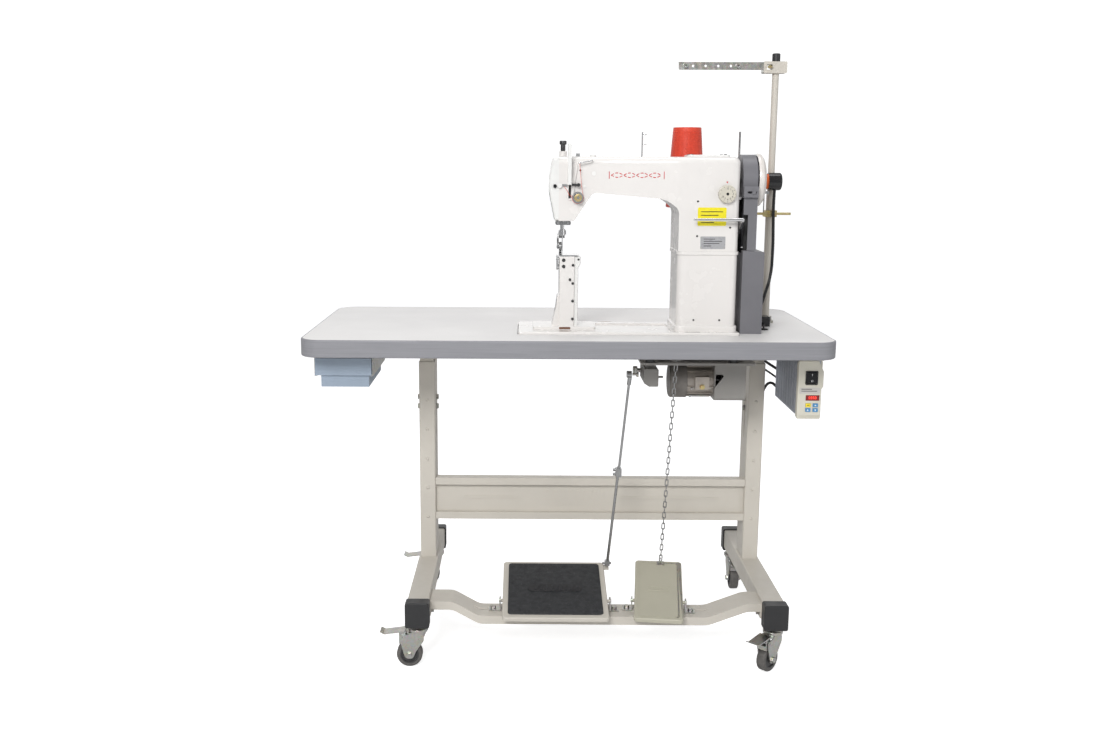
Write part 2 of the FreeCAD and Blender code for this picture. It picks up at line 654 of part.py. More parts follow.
def motor():
    """Servo motor with round end cap, ribbed middle, belt guard, and the speed unit beside it."""
    left, cap_right, guard_left = 247, 288, 350
    cap = rod((left, MOTOR_Y, MOTOR_Z), (cap_right, MOTOR_Y, MOTOR_Z), 41)
    cap = rounded(cap, 6.0, at("x", left, longer=100))
    middle = rod((cap_right, MOTOR_Y, MOTOR_Z), (guard_left, MOTOR_Y, MOTOR_Z), 35)
    ribs = []
    for i in range(12):
        rib = box(cap_right, guard_left, MOTOR_Y - 1.5, MOTOR_Y + 1.5, MOTOR_Z + 33, MOTOR_Z + 38.5)
        angle = 30 * i + 15
        ribs.append(turned(rib, angle, (0, MOTOR_Y, MOTOR_Z), (1, 0, 0)))
    terminal = box(305, 338, MOTOR_Y - 48, MOTOR_Y - 30, MOTOR_Z - 14, MOTOR_Z + 16)
    housing = fuse([middle, terminal] + ribs)
    shaft_bore = rod((guard_left - 25, MOTOR_Y, MOTOR_Z), (guard_left + 10, MOTOR_Y, MOTOR_Z),
                     7 + RUNNING_GAP)
    housing = housing.cut(shaft_bore)
    outer = [(MOTOR_Y - 52, MOTOR_Z - 40, 10), (MOTOR_Y + 52, MOTOR_Z - 40, 20),
             (MOTOR_Y + 52, MOUNT_PLATE_Z - 0.5), (MOTOR_Y - 52, MOUNT_PLATE_Z - 0.5, 4)]
    guard = slab_yz(outer, guard_left, 423)
    inner = [(MOTOR_Y - 49, MOTOR_Z - 37, 8), (MOTOR_Y + 49, MOTOR_Z - 37, 18),
             (MOTOR_Y + 49, MOUNT_PLATE_Z + 5), (MOTOR_Y - 49, MOUNT_PLATE_Z + 5)]
    guard = guard.cut(slab_yz(inner, guard_left + 3, 420)).cut(shaft_bore)
    corner = slab_xz([(guard_left - 5, 640), (guard_left + 24, 640, 4), (guard_left - 1, 606),
                      (guard_left - 5, 600)],
                     MOTOR_Y - 60, MOTOR_Y - 45)
    guard = guard.cut(moved(corner, z=30))
    unit = slab_xz([(184, 682, 3), (218, 682, 3), (218, 640, 3), (196, 640, 3), (184, 648, 3)], 150, 245)
    neck = box(190, 212, 165, 230, 682, MOUNT_PLATE_Z)
    pin = rod((218, 180, 658), (232, 180, 658), 2.5)
    bore = rod((180, SPEED_SHAFT_Y, SPEED_SHAFT_Z), (200, SPEED_SHAFT_Y, SPEED_SHAFT_Z), 5 + RUNNING_GAP)
    return group([cap, housing, guard, fuse([unit, neck, pin]).cut(bore)])


def speed_lever():
    """The lever that the treadle rod pulls: shaft, flat arm and ball stud."""
    shaft = rod((172, SPEED_SHAFT_Y, SPEED_SHAFT_Z), (200, SPEED_SHAFT_Y, SPEED_SHAFT_Z), 5)
    boss = rod((166, SPEED_SHAFT_Y, SPEED_SHAFT_Z), (176, SPEED_SHAFT_Y, SPEED_SHAFT_Z), 10)
    arm = slab_yz([(SPEED_SHAFT_Y + 8, SPEED_SHAFT_Z - 7, 5), (SPEED_SHAFT_Y + 8, SPEED_SHAFT_Z + 7, 5),
                   (BALL_Y - 8, SPEED_SHAFT_Z + 9, 5), (BALL_Y - 8, SPEED_SHAFT_Z - 3, 5)], 168, 172)
    stud = rod((158, BALL_Y, SPEED_SHAFT_Z + 3), (172, BALL_Y, SPEED_SHAFT_Z + 3), 3)
    return fuse([shaft, boss, arm, stud])


def motor_pulley():
    wheel = rod((BELT_X - 8, MOTOR_Y, MOTOR_Z), (BELT_X + 8, MOTOR_Y, MOTOR_Z), MOTOR_PULLEY_RADIUS)
    groove = belt_ring(MOTOR_Y, MOTOR_Z, MOTOR_PULLEY_RADIUS)
    shaft = rod((328, MOTOR_Y, MOTOR_Z), (BELT_X + 8, MOTOR_Y, MOTOR_Z), 7)
    return fuse([wheel.cut(groove), shaft])


def belt_ring(y, z, radius):
    """The V groove of a pulley as a ring to cut away."""
    half_top, half_low, depth = 6.0, 4.0, 9.0
    profile = [V(BELT_X - half_top, y, z + radius + 1), V(BELT_X + half_top, y, z + radius + 1),
               V(BELT_X + half_low, y, z + radius - depth), V(BELT_X - half_low, y, z + radius - depth)]
    face = Part.Face(Part.makePolygon(profile + profile[:1]))
    return face.revolve(V(BELT_X, y, z), V(1, 0, 0), 360)


def control_box():
    """Finned aluminium case of the motor's control box."""
    x0, x1, y0, y1, z0, z1 = 546, 594, 138, 385, 571, 706.8
    case = slab_xz(rectangle(x0, x1, z0, z1, 3), y0, y1)
    case = case.cut(slab_xz(rectangle(x0 + 4, x1 - 3, z0 + 3, z1 - 3), y0 - 1, y1 - 3))
    for i in range(9):
        y = y0 + 30 + 25 * i
        case = case.cut(box(x0 - 1, x0 + 1.2, y - 1.5, y + 1.5, z0 - 1, z1 + 1))
    return case


def control_panel():
    """Moulded front panel and its display window."""
    face = slab_xz([(541, 569, 3), (596, 569, 3), (596, 640, 2), (600, 646, 2), (600, 682, 2),
                    (592, 697, 3),
                    (588, 706.8, 2), (541, 706.8, 3)], *PANEL_Y)
    face = rounded(face, 1.5, at("y", PANEL_Y[0]))
    skirt = slab_xz(rectangle(542, 598, 570, 706, 3), 137.9, 150)
    skirt = skirt.cut(slab_xz(rectangle(545.9, 594.1, 570.9, 706.9, 3), 137, 151))
    skirt = skirt.cut(box(540, 560, 130, 160, 700, 720))
    panel = fuse([face, skirt])
    panel = panel.cut(box(ROCKER_X - 12.3, ROCKER_X + 12.3, 120, 145, ROCKER_Z - 14.3, ROCKER_Z + 14.3))
    window = box(560, 592, PANEL_Y[0] - 0.5, PANEL_Y[0] + 3, 613, 626)
    panel = panel.cut(box(560, 592, 120, PANEL_Y[0] + 3, 613, 626))
    for x, z in KEYS.values():
        panel = panel.cut(box(x - KEY_SIZE[0] / 2 - 0.4, x + KEY_SIZE[0] / 2 + 0.4, 120, 137,
                              z - KEY_SIZE[1] / 2 - 0.4,
                              z + KEY_SIZE[1] / 2 + 0.4))
    panel = panel.cut(box(548, 594, 120, PANEL_Y[0] + 2, 573, 577))
    bezel = slab_xz(rectangle(ROCKER_X - 14.5, ROCKER_X + 14.5, ROCKER_Z - 16.5, ROCKER_Z + 16.5, 2),
                    PANEL_Y[0] - 1.5, PANEL_Y[0])
    bezel = bezel.cut(box(ROCKER_X - 12.3, ROCKER_X + 12.3, 120, 145, ROCKER_Z - 14.3, ROCKER_Z + 14.3))
    panel = panel.cut(rod((ROCKER_X - 14, PANEL_Y[0] + 4, ROCKER_Z),
                          (ROCKER_X + 14, PANEL_Y[0] + 4, ROCKER_Z), 1.5))
    return group([panel, bezel, window])


def power_rocker():
    y = PANEL_Y[0] + 4
    body = slab_yz([(y + 7, ROCKER_Z - 9), (y + 7, ROCKER_Z + 9), (y - 3, ROCKER_Z + 12.2),
                    (y - 5, ROCKER_Z),
                    (y - 7.5, ROCKER_Z - 12.2)], ROCKER_X - 11.8, ROCKER_X + 11.8)
    axle = rod((ROCKER_X - 13, y, ROCKER_Z), (ROCKER_X + 13, y, ROCKER_Z), 1.45)
    return fuse([body, axle])


def panel_key(x, z):
    w, h = KEY_SIZE
    key = slab_xz(rectangle(x - w / 2, x + w / 2, z - h / 2, z + h / 2, 1.2), PANEL_Y[0] - 1.2,
                  PANEL_Y[0] + 5)
    return rounded(key, 0.5, at("y", PANEL_Y[0] - 1.2))


# ---- bed, post and arm castings ----------------------------------------------

def column_block(z0, z1, grow=0.0, radius=16.0):
    return slab_xy(rectangle(COLUMN_X[0] - grow, COLUMN_X[1] + grow, COLUMN_Y[0] - grow, COLUMN_Y[1] + grow,
                             radius), z0, z1)


def bed_casting():
    """Open-bottomed bed with the lower column cast on it, up to the bolted seam."""
    y0, y1 = BED_Y - BED_WIDTH / 2, BED_Y + BED_WIDTH / 2
    x0, x1 = BED_X
    bed = slab_xy(rectangle(x0, x1, y0, y1, 7), 716, BED_TOP)
    bed = rounded(bed, 2.5, at("z", BED_TOP))
    bed = bed.cut(slab_xy(rectangle(x0 + 8, x1 - 8, y0 + 8, y1 - 8, 5), 715, BED_TOP - 9))
    column = column_block(BED_TOP - 1, SEAM_Z)
    foot = rounded(column_block(BED_TOP - 1, BED_TOP + 14, 4.0, 18.0), 3.9, at("z", BED_TOP + 14))
    bead = column_block(SEAM_Z - 8, SEAM_Z, 2.5, 17.0)
    bead = rounded(bead, 1.5, at("z", SEAM_Z - 8))
    shape = fuse([bed, column, foot, bead])
    w = COLUMN_WALL
    inside = slab_xy(rectangle(COLUMN_X[0] + w, COLUMN_X[1] - w, COLUMN_Y[0] + w, COLUMN_Y[1] - w, 8), 715,
                     SEAM_Z + 1)
    channel = slab_xy(rectangle(72, COLUMN_X[0] - 8, y0 + 27, y1 - 27, 10), BED_TOP - 3, BED_TOP + 1)
    shape = shape.cut(inside).cut(channel)
    shape = shape.cut(rod((HOOK_X, BED_Y, 760), (HOOK_X, BED_Y, BED_TOP + 1), 14))
    shape = shape.cut(rod((HOOK_X + 6, BED_Y, LOWER_SHAFT_Z), (HOOK_X + 24, BED_Y, LOWER_SHAFT_Z), 23))
    shaft = rod((0, BED_Y, LOWER_SHAFT_Z), (385, BED_Y, LOWER_SHAFT_Z), 6 + RUNNING_GAP)
    bearings = [box(x, x + 12, y0 + 7, y1 - 7, 730, BED_TOP - 8)
                .cut(box(x - 1, x + 13, BED_Y - 60, BED_Y - 14, 729, 760))
                .cut(box(x - 1, x + 13, BED_Y + 14, BED_Y + 60, 729, 760)).cut(shaft) for x in (70, 222)]
    slit = slab_xy(rectangle(272, 306, 107, 111.5, 2.2), BED_TOP - 2, BED_TOP + 1)
    return fuse([shape.cut(slit)] + bearings)


def arm_casting():
    """Upper column, arm and head in one hollow casting."""
    front = [(-21, HEAD_BOTTOM), (15, HEAD_BOTTOM, 4), (57, 1091, 16), (222, 1077, 60),
             (COLUMN_X[0], 1054, 24),
             (COLUMN_X[0], SEAM_Z), (COLUMN_X[1], SEAM_Z), (COLUMN_X[1], ARM_TOP), (-21, ARM_TOP)]
    above = [(-21, HEAD_FRONT_Y), (80, HEAD_FRONT_Y, 200), (COLUMN_X[0] - 1, COLUMN_Y[0], 120),
             (COLUMN_X[1], COLUMN_Y[0], 16),
             (COLUMN_X[1], COLUMN_Y[1], 16), (COLUMN_X[0] - 1, COLUMN_Y[1], 120), (80, HEAD_BACK_Y, 200),
             (-21, HEAD_BACK_Y)]
    body = slab_xz(front, COLUMN_Y[0] - 5, COLUMN_Y[1] + 5).common(slab_xy(above, SEAM_Z, ARM_TOP))

    def crown(edge):
        centre = edge.CenterOfMass
        level = edge.BoundBox.ZLength < 0.01 and abs(centre.z - ARM_TOP) < 0.1
        return level and edge.BoundBox.XLength > 1.0 and centre.x > -20.9

    body = rounded(body, CROWN_RADIUS, crown)
    pad = slab_xz([(TAKE_UP_X[0], 1074), (12, 1074, 2), (14, 1100, 40), (20, 1136, 40), (22, 1158, 6),
                   (TAKE_UP_X[0], 1158)],
                  HEAD_FRONT_Y - 4, HEAD_FRONT_Y + 1)
    body = fuse([body, rounded(pad, 1.5, at("y", HEAD_FRONT_Y - 4))])
    cavities = [
        box(-22, 34, 156, 226, 1044, 1158),
        box(48, COLUMN_X[0] + 11, 160, 220, 1098, 1152),
        box(COLUMN_X[0] + 9, COLUMN_X[1] - 9, COLUMN_Y[0] + 12, COLUMN_Y[1] - 12, SEAM_Z - 1, 1150),
        box(TAKE_UP_X[0] - 1, TAKE_UP_X[1] + 1, HEAD_FRONT_Y - 10, 168, 1078, ARM_TOP + 2),
        rod((30, BED_Y, SHAFT_Z), (COLUMN_X[1] + 1, BED_Y, SHAFT_Z), 8 + RUNNING_GAP),
        rod((NEEDLE_X, BED_Y, HEAD_BOTTOM - 1), (NEEDLE_X, BED_Y, 1160), 3.6 + RUNNING_GAP),
        rod((NEEDLE_X, PRESSER_Y, HEAD_BOTTOM - 1), (NEEDLE_X, PRESSER_Y, ARM_TOP + 1), 4.5 + RUNNING_GAP),
        rod((DIAL_X, COLUMN_Y[0] - 1, DIAL_Z), (DIAL_X, COLUMN_Y[0] + 14, DIAL_Z), 5 + RUNNING_GAP),
        rod((COLUMN_X[1] - 12, REVERSE_Y, REVERSE_Z), (COLUMN_X[1] + 1, REVERSE_Y, REVERSE_Z),
            6 + RUNNING_GAP),
        rod((TENSION_X, HEAD_FRONT_Y - 1, TENSION_Z), (TENSION_X, HEAD_FRONT_Y + 16, TENSION_Z), 3.0),
    ]
    for cavity in cavities:
        body = body.cut(cavity)
    for x, z in COLUMN_HOLES:
        body = body.cut(rod((x, COLUMN_Y[0] - 1, z), (x, COLUMN_Y[0] + 6, z), 2.4))
    bearing = ring((34, BED_Y, SHAFT_Z), (48, BED_Y, SHAFT_Z), 13, 8 + RUNNING_GAP)
    knob_boss = ring((NEEDLE_X, PRESSER_Y, ARM_TOP - 1), (NEEDLE_X, PRESSER_Y, ARM_TOP + 12), 9,
                     4.5 + RUNNING_GAP)
    take_up_pin = rod((TAKE_UP_X[0] - 1, TAKE_UP_Y, TAKE_UP_Z), (36, TAKE_UP_Y, TAKE_UP_Z), 3)
    return fuse([body, bearing, knob_boss, take_up_pin])


def face_plate():
    profile = [(-21, ARM_TOP - 1, 0), (-35, ARM_TOP - 1, 8), (-43, 1128, 90), (-43, 1092, 90),
               (-30, HEAD_BOTTOM, 3),
               (-21, HEAD_BOTTOM)]
    plate = slab_xz(profile, HEAD_FRONT_Y, HEAD_BACK_Y)
    plate = rounded(plate, 7.0, lambda e: e.CenterOfMass.x < -22
                    and (abs(e.CenterOfMass.y - HEAD_FRONT_Y) < 0.1
                        or abs(e.CenterOfMass.y - HEAD_BACK_Y) < 0.1))
    inside = [(-20, ARM_TOP - 8), (-30, ARM_TOP - 8, 6), (-38, 1128, 80), (-38, 1092, 80),
              (-27, HEAD_BOTTOM + 8, 2),
              (-20, HEAD_BOTTOM + 8)]
    return plate.cut(slab_xz(inside, HEAD_FRONT_Y + 6, HEAD_BACK_Y - 6))


def take_up_guard():
    """The white strip that stands in front of the take-up lever."""
    front = slab_xz([(-1.5, 1109, 1), (6.5, 1109, 1), (6.5, 1200, 3.9), (-1.5, 1200, 3.9)], 118, 120.5)
    web = slab_yz([(118, 1112), (HEAD_FRONT_Y, 1114), (HEAD_FRONT_Y, 1168), (146, 1186, 6), (136, 1200, 8),
                   (118, 1200, 4)], -1.5, 0.5)
    return fuse([front, web])


def head_covers():
    """Face plate, take-up guard, arm top cover and the caps on the arm."""
    cover = slab_xy(rectangle(272, 368, 152, 228, 10), ARM_TOP, ARM_TOP + 5)
    cover = rounded(cover, 3.0, at("z", ARM_TOP + 5))
    screws = [rod((x, y, ARM_TOP + 5), (x, y, ARM_TOP + 6.5), 3.5) for x in (282, 358) for y in (162, 218)]
    oil_cap = rounded(rod((58, BED_Y, ARM_TOP), (58, BED_Y, ARM_TOP + 4), 7), 1.2, at("z", ARM_TOP + 4))
    plug = rod((58, HEAD_FRONT_Y - 1.2, 1134), (58, HEAD_FRONT_Y, 1134), 5.0)
    seat = box(-28, 7, 136, HEAD_FRONT_Y + 26, HEAD_BOTTOM - 9, HEAD_BOTTOM)
    seat = rounded(seat, 3.0, either(along((0, 1, 0)), along((0, 0, 1))))
    seat_screws = [rod((x, 134, HEAD_BOTTOM - 4.5), (x, 136, HEAD_BOTTOM - 4.5), 2.6) for x in (-22, 1)]
    top_block = box(18, 27, HEAD_FRONT_Y + 24, HEAD_FRONT_Y + 44, ARM_TOP, ARM_TOP + 7)
    parts = [face_plate(), take_up_guard(), cover, oil_cap, plug, seat, top_block]
    return group(parts + screws + seat_screws)


def post_casting():
    """The hollow post, with the base pad that screws to the bed."""
    x0, x1 = POST_X
    post = slab_xy(rectangle(x0, x1, POST_FRONT_Y, POST_BACK_Y, 2.5), BED_TOP, POST_TOP - 3)
    pad = slab_xy(rectangle(-78, 67, 142, 240, 6), BED_TOP, BED_TOP + 7)
    pad = rounded(pad, 2.0, at("z", BED_TOP + 7))
    skirt = slab_xz([(x0 + 1, BED_TOP + 6), (x0 + 1, 857), (x0 - 4, 851, 3), (x0 - 7, 826),
                     (x0 - 16, BED_TOP + 6)],
                    POST_FRONT_Y + 6, POST_BACK_Y - 6)
    shape = fuse([post, pad, skirt])
    cavity = box(x0 + 4, x1 - 4, POST_FRONT_Y + 5, POST_BACK_Y - 5, 800, 906)
    chamber = rod((HOOK_X, BED_Y, 921), (HOOK_X, BED_Y, POST_TOP), 18.0)
    bore = rod((HOOK_X, BED_Y, BED_TOP - 1), (HOOK_X, BED_Y, 925), 5 + RUNNING_GAP)
    wheel_pocket = rod((-20, BED_Y, FEED_WHEEL_Z), (-10.8, BED_Y, FEED_WHEEL_Z), FEED_WHEEL_RADIUS + 1)
    window = box(-17, 9, 141, 144, BED_TOP + 1, BED_TOP + 6)
    for hole in (cavity, chamber, bore, wheel_pocket, window):
        shape = shape.cut(hole)
    return shape


def post_covers():
    """Side cover, needle plate, feed-wheel bracket, base window and screws of the post."""
    x1 = POST_X[1]
    chamber = rod((HOOK_X, BED_Y, 921), (HOOK_X, BED_Y, POST_TOP - 3), 18.0)
    side = slab_xz([(x1, BED_TOP + 7), (x1 + 9, BED_TOP + 7), (x1 + 9, 918, 4), (x1 + 14, 927, 4),
                    (x1 + 14, POST_TOP - 3, 3), (x1, POST_TOP - 3)], POST_FRONT_Y + 5, POST_BACK_Y - 5)
    side = rounded(side, 3.0, lambda e: runs_along(e, (0, 0, 1)) and e.CenterOfMass.x > x1 + 5).cut(chamber)
    plate = slab_xy(rectangle(POST_X[0], x1 + 8, POST_FRONT_Y + 1, POST_BACK_Y - 1, 3), POST_TOP - 3,
                    POST_TOP)
    plate = plate.cut(box(WHEEL_X[0] - 1, WHEEL_X[1] + 0.7, BED_Y - 18, BED_Y + 18, 900, 960))
    plate = plate.cut(rod((NEEDLE_X, BED_Y, 900), (NEEDLE_X, BED_Y, 960), 1.6))
    bracket = slab_yz([(BED_Y - 22, POST_TOP - 3, 3), (BED_Y - 22, 912, 8), (BED_Y + 22, 912, 8),
                       (BED_Y + 22, POST_TOP - 3, 3)],
                      -23.5, -20)
    bracket = bracket.cut(rod((-30, BED_Y, FEED_WHEEL_Z), (-15, BED_Y, FEED_WHEEL_Z), 3 + RUNNING_GAP))
    stays = [box(-20, POST_X[0], y - 3, y + 3, 914, 922) for y in (BED_Y - 18, BED_Y + 18)]
    window = box(-17, 9, 141.5, 144, BED_TOP + 1, BED_TOP + 6)
    screws = [rod((x, POST_FRONT_Y - 1.6, z), (x, POST_FRONT_Y, z), r) for x, z, r in POST_SCREWS]
    screws.append(rod((x1 + 9, POST_FRONT_Y + 3.2, 938), (x1 + 9, POST_FRONT_Y + 5, 938), 2.4))
    return group([side, plate, fuse([bracket] + stays), window] + screws)


# ---- mechanism ---------------------------------------------------------------

def main_shaft():
    """Upper shaft with its crank disc and belt sprocket."""
    shaft = rod((18, BED_Y, SHAFT_Z), (446, BED_Y, SHAFT_Z), 8)
    crank = rod((16, BED_Y, SHAFT_Z), (24, BED_Y, SHAFT_Z), 17)
    weight = slab_yz([(BED_Y - 14, SHAFT_Z - 8), (BED_Y + 14, SHAFT_Z - 8), (BED_Y + 14, SHAFT_Z - 17, 3),
                      (BED_Y - 14, SHAFT_Z - 17, 3)], 24, 30)
    sprocket = rod((SPROCKET_X[0], BED_Y, SHAFT_Z), (SPROCKET_X[1], BED_Y, SHAFT_Z), SPROCKET_RADIUS)
    return fuse([shaft, crank, weight, sprocket])


def handwheel():
    """Belt pulley and rimmed handwheel in one casting, pushed on the shaft's end."""
    pulley = rod((BELT_X - 9, BED_Y, SHAFT_Z), (BELT_X + 9, BED_Y, SHAFT_Z), MACHINE_PULLEY_RADIUS)
    pulley = pulley.cut(belt_ring(BED_Y, SHAFT_Z, MACHINE_PULLEY_RADIUS))
    r = HANDWHEEL_RADIUS
    # half-profile of the wheel: distance along X from its inner face, radius
    profile = [(430, 14), (430, r - 6), (432, r - 1), (437, r), (443, r - 2), (449, r - 10), (452, r - 20),
               (452, r - 26), (444, r - 29), (442, 24), (446, 18), (450, 14), (450, 0.01), (418, 0.01),
               (418, 14)]
    points = [V(x, BED_Y, SHAFT_Z + rr) for x, rr in profile]
    face = Part.Face(Part.makePolygon(points + points[:1]))
    wheel = face.revolve(V(0, BED_Y, SHAFT_Z), V(1, 0, 0), 360)
    wheel = fuse([pulley, wheel])
    return wheel.cut(rod((390, BED_Y, SHAFT_Z), (446, BED_Y, SHAFT_Z), 8))


def lower_shaft():
    """Bed shaft with sprocket and the large bevel wheel that drives the hook shaft."""
    shaft = rod((HOOK_X + 9, BED_Y, LOWER_SHAFT_Z), (366, BED_Y, LOWER_SHAFT_Z), 6)
    sprocket = rod((SPROCKET_X[0], BED_Y, LOWER_SHAFT_Z), (SPROCKET_X[1], BED_Y, LOWER_SHAFT_Z),
                   SPROCKET_RADIUS)
    bevel = Part.makeCone(15.6, 21.6, 3.0, V(HOOK_X + 8.2, BED_Y, LOWER_SHAFT_Z), V(1, 0, 0))
    hub = rod((HOOK_X + 11.2, BED_Y, LOWER_SHAFT_Z), (HOOK_X + 22, BED_Y, LOWER_SHAFT_Z), 12)
    return fuse([shaft, sprocket, bevel, hub])


def hook_shaft():
    """Vertical shaft in the post: bevel pinion below, rotary hook on top."""
    shaft = rod((HOOK_X, BED_Y, LOWER_SHAFT_Z + 15), (HOOK_X, BED_Y, 926), 5)
    pinion = Part.makeCone(7.8, 10.6, 5.6, V(HOOK_X, BED_Y, LOWER_SHAFT_Z + 16), V(0, 0, 1))
    hook = rounded(rod((HOOK_X, BED_Y, 924), (HOOK_X, BED_Y, 942), 15.2), 2.0, at("z", 924, longer=20))
    hook = hook.cut(rod((HOOK_X, BED_Y, 929), (HOOK_X, BED_Y, 943), 12))
    basket = ring((HOOK_X, BED_Y, 928), (HOOK_X, BED_Y, 941), 4, 2.5)
    return fuse([shaft, pinion, hook, basket])


def needle_bar():
    x, y = NEEDLE_X, BED_Y
    bar = rod((x, y, 1000), (x, y, 1139), 3.6)
    clamp = fuse([rod((x, y, 991), (x, y, 1006), 6.2), box(x - 8.5, x + 8.5, y - 3.5, y + 3.5, 993, 1003)])
    clamp = rounded(clamp, 0.8, at("z", 1006, 991))
    screw = rod((x, y - 9, 998), (x, y - 5, 998), 2.4)
    needle = rod((x, y, 957), (x, y, 992), 1.1)
    tip = Part.makeCone(1.1, 0.15, 11, V(x, y, 957), V(0, 0, -1))
    crank_pin = box(x, TAKE_UP_X[0] - 1, y - 5, y + 5, 1096, 1106)
    return fuse([bar, clamp, screw, needle, tip, crank_pin])


def presser_bar():
    """Presser bar with the swung-out bracket that carries the roller."""
    x, y = NEEDLE_X, PRESSER_Y
    bar = rod((x, y, 984), (x, y, 1126), 4.5)
    block = box(x - 8, x + 6, y - 6, y + 8, 984, 1000)
    block = rounded(block, 2.0, along((0, 0, 1)))
    arm = slab_yz([(y + 5, 996), (y - 5, 996), (y - 8, 982, 8), (BED_Y - 5, ROLLER_Z + 8, 6),
                   (BED_Y - 6, ROLLER_Z - 5, 5),
                   (BED_Y + 6, ROLLER_Z - 5, 5), (y + 5, 980, 8)], WHEEL_X[0] - 4.5, WHEEL_X[0] - 0.6)
    link = box(WHEEL_X[0] - 4.5, x - 4, y - 5, y + 5, 984, 996)
    pin = rod((WHEEL_X[0] - 5.5, BED_Y, ROLLER_Z), (WHEEL_X[1] + 0.4, BED_Y, ROLLER_Z), 2.5)
    collar = rod((x, y, 1060), (x, y, 1074), 9)
    return fuse([bar, block, arm, link, pin, collar])


def presser_roller():
    a, b = (WHEEL_X[0], BED_Y, ROLLER_Z), (WHEEL_X[1], BED_Y, ROLLER_Z)
    roller = rounded(rod(a, b, ROLLER_RADIUS), 0.8, longer_than(60))
    return roller.cut(rod((WHEEL_X[0] - 1, BED_Y, ROLLER_Z), (WHEEL_X[1] + 1, BED_Y, ROLLER_Z),
                          2.5 + RUNNING_GAP))


def feed_wheel():
    """Toothed wheel that drives the leather from below."""
    wheel = rod((WHEEL_X[0], BED_Y, FEED_WHEEL_Z), (WHEEL_X[1], BED_Y, FEED_WHEEL_Z), FEED_WHEEL_RADIUS)
    notches = []
    teeth = 40
    for i in range(teeth):
        notch = box(WHEEL_X[0] - 1, WHEEL_X[1] + 1, BED_Y - 0.5, BED_Y + 0.5,
                    FEED_WHEEL_Z + FEED_WHEEL_RADIUS - 0.9,
                    FEED_WHEEL_Z + FEED_WHEEL_RADIUS + 1)
        notches.append(turned(notch, 360 * i / teeth, (0, BED_Y, FEED_WHEEL_Z), (1, 0, 0)))
    wheel = wheel.cut(notches)
    return fuse([wheel, rod((-25, BED_Y, FEED_WHEEL_Z), (WHEEL_X[1], BED_Y, FEED_WHEEL_Z), 3)])


def take_up_lever():
    """Thread take-up: turns on a pin in the head and reaches out through the slot."""
    x0, x1 = TAKE_UP_X
    tip_y, tip_z = TAKE_UP_Y - TAKE_UP_REACH, TAKE_UP_Z
    arm = slab_yz([(TAKE_UP_Y, TAKE_UP_Z - 5), (TAKE_UP_Y, TAKE_UP_Z + 5), (tip_y, tip_z + 3.5, 3),
                   (tip_y, tip_z - 3.5, 3)], x0, x1)
    boss = rod((x0, TAKE_UP_Y, TAKE_UP_Z), (x1, TAKE_UP_Y, TAKE_UP_Z), 7)
    lever = fuse([arm, boss])
    lever = lever.cut(rod((x0 - 1, TAKE_UP_Y, TAKE_UP_Z), (x1 + 1, TAKE_UP_Y, TAKE_UP_Z), 3 + RUNNING_GAP))
    lever = lever.cut(rod((x0 - 1, tip_y + 4.5, tip_z), (x1 + 1, tip_y + 4.5, tip_z), 1.3))
    return turned(lever, -TAKE_UP_RISE, (0, TAKE_UP_Y, TAKE_UP_Z), (1, 0, 0))


def belts():
    """The V-belt from the motor and the toothed belt inside the column."""
    def loop(top, low, x0, x1, thick):
        """A belt round two pulleys, each given as (y, z, radius)."""
        def hull(grow):
            distance = math.hypot(top[0] - low[0], top[1] - low[1])
            lean = math.atan2(low[0] - top[0], top[1] - low[1])
            spread = math.asin((top[2] - low[2]) / distance)
            corners = []
            for side, wheel in ((1, top), (1, low), (-1, low), (-1, top)):
                angle = lean + side * spread + (0 if side > 0 else math.pi)
                corners.append((wheel[0] + (wheel[2] + grow) * math.cos(angle),
                                wheel[1] + (wheel[2] + grow) * math.sin(angle)))
            wheels = [rod((x0, y, z), (x1, y, z), radius + grow) for y, z, radius in (top, low)]
            return fuse([slab_yz(corners, x0, x1)] + wheels)
        return hull(thick).cut(hull(0.0))

    v_belt = loop((BED_Y, SHAFT_Z, MACHINE_PULLEY_RADIUS - 6.5),
                  (MOTOR_Y, MOTOR_Z, MOTOR_PULLEY_RADIUS - 6.5),
                  BELT_X - 4.2, BELT_X + 4.2, 6.0)
    toothed = loop((BED_Y, SHAFT_Z, SPROCKET_RADIUS + 0.4), (BED_Y, LOWER_SHAFT_Z, SPROCKET_RADIUS + 0.4),
                   SPROCKET_X[0] + 1, SPROCKET_X[1] - 1, 3.0)
    return group([v_belt, toothed])


# ---- controls and thread path on the head ------------------------------------
def tension_unit():
    """Fixed part of the thread tension: stud, base plate and two discs."""
    x, z, face = TENSION_X, TENSION_Z, HEAD_FRONT_Y
    stud = rod((x, 117, z), (x, face + 14, z), 3)
    base = rod((x, face - 3.5, z), (x, face, z), 8.9)
    discs = [rod((x, face - 8.5 + i * 2.4, z), (x, face - 7 + i * 2.4, z), 13) for i in range(2)]
    return fuse([stud, base] + discs)


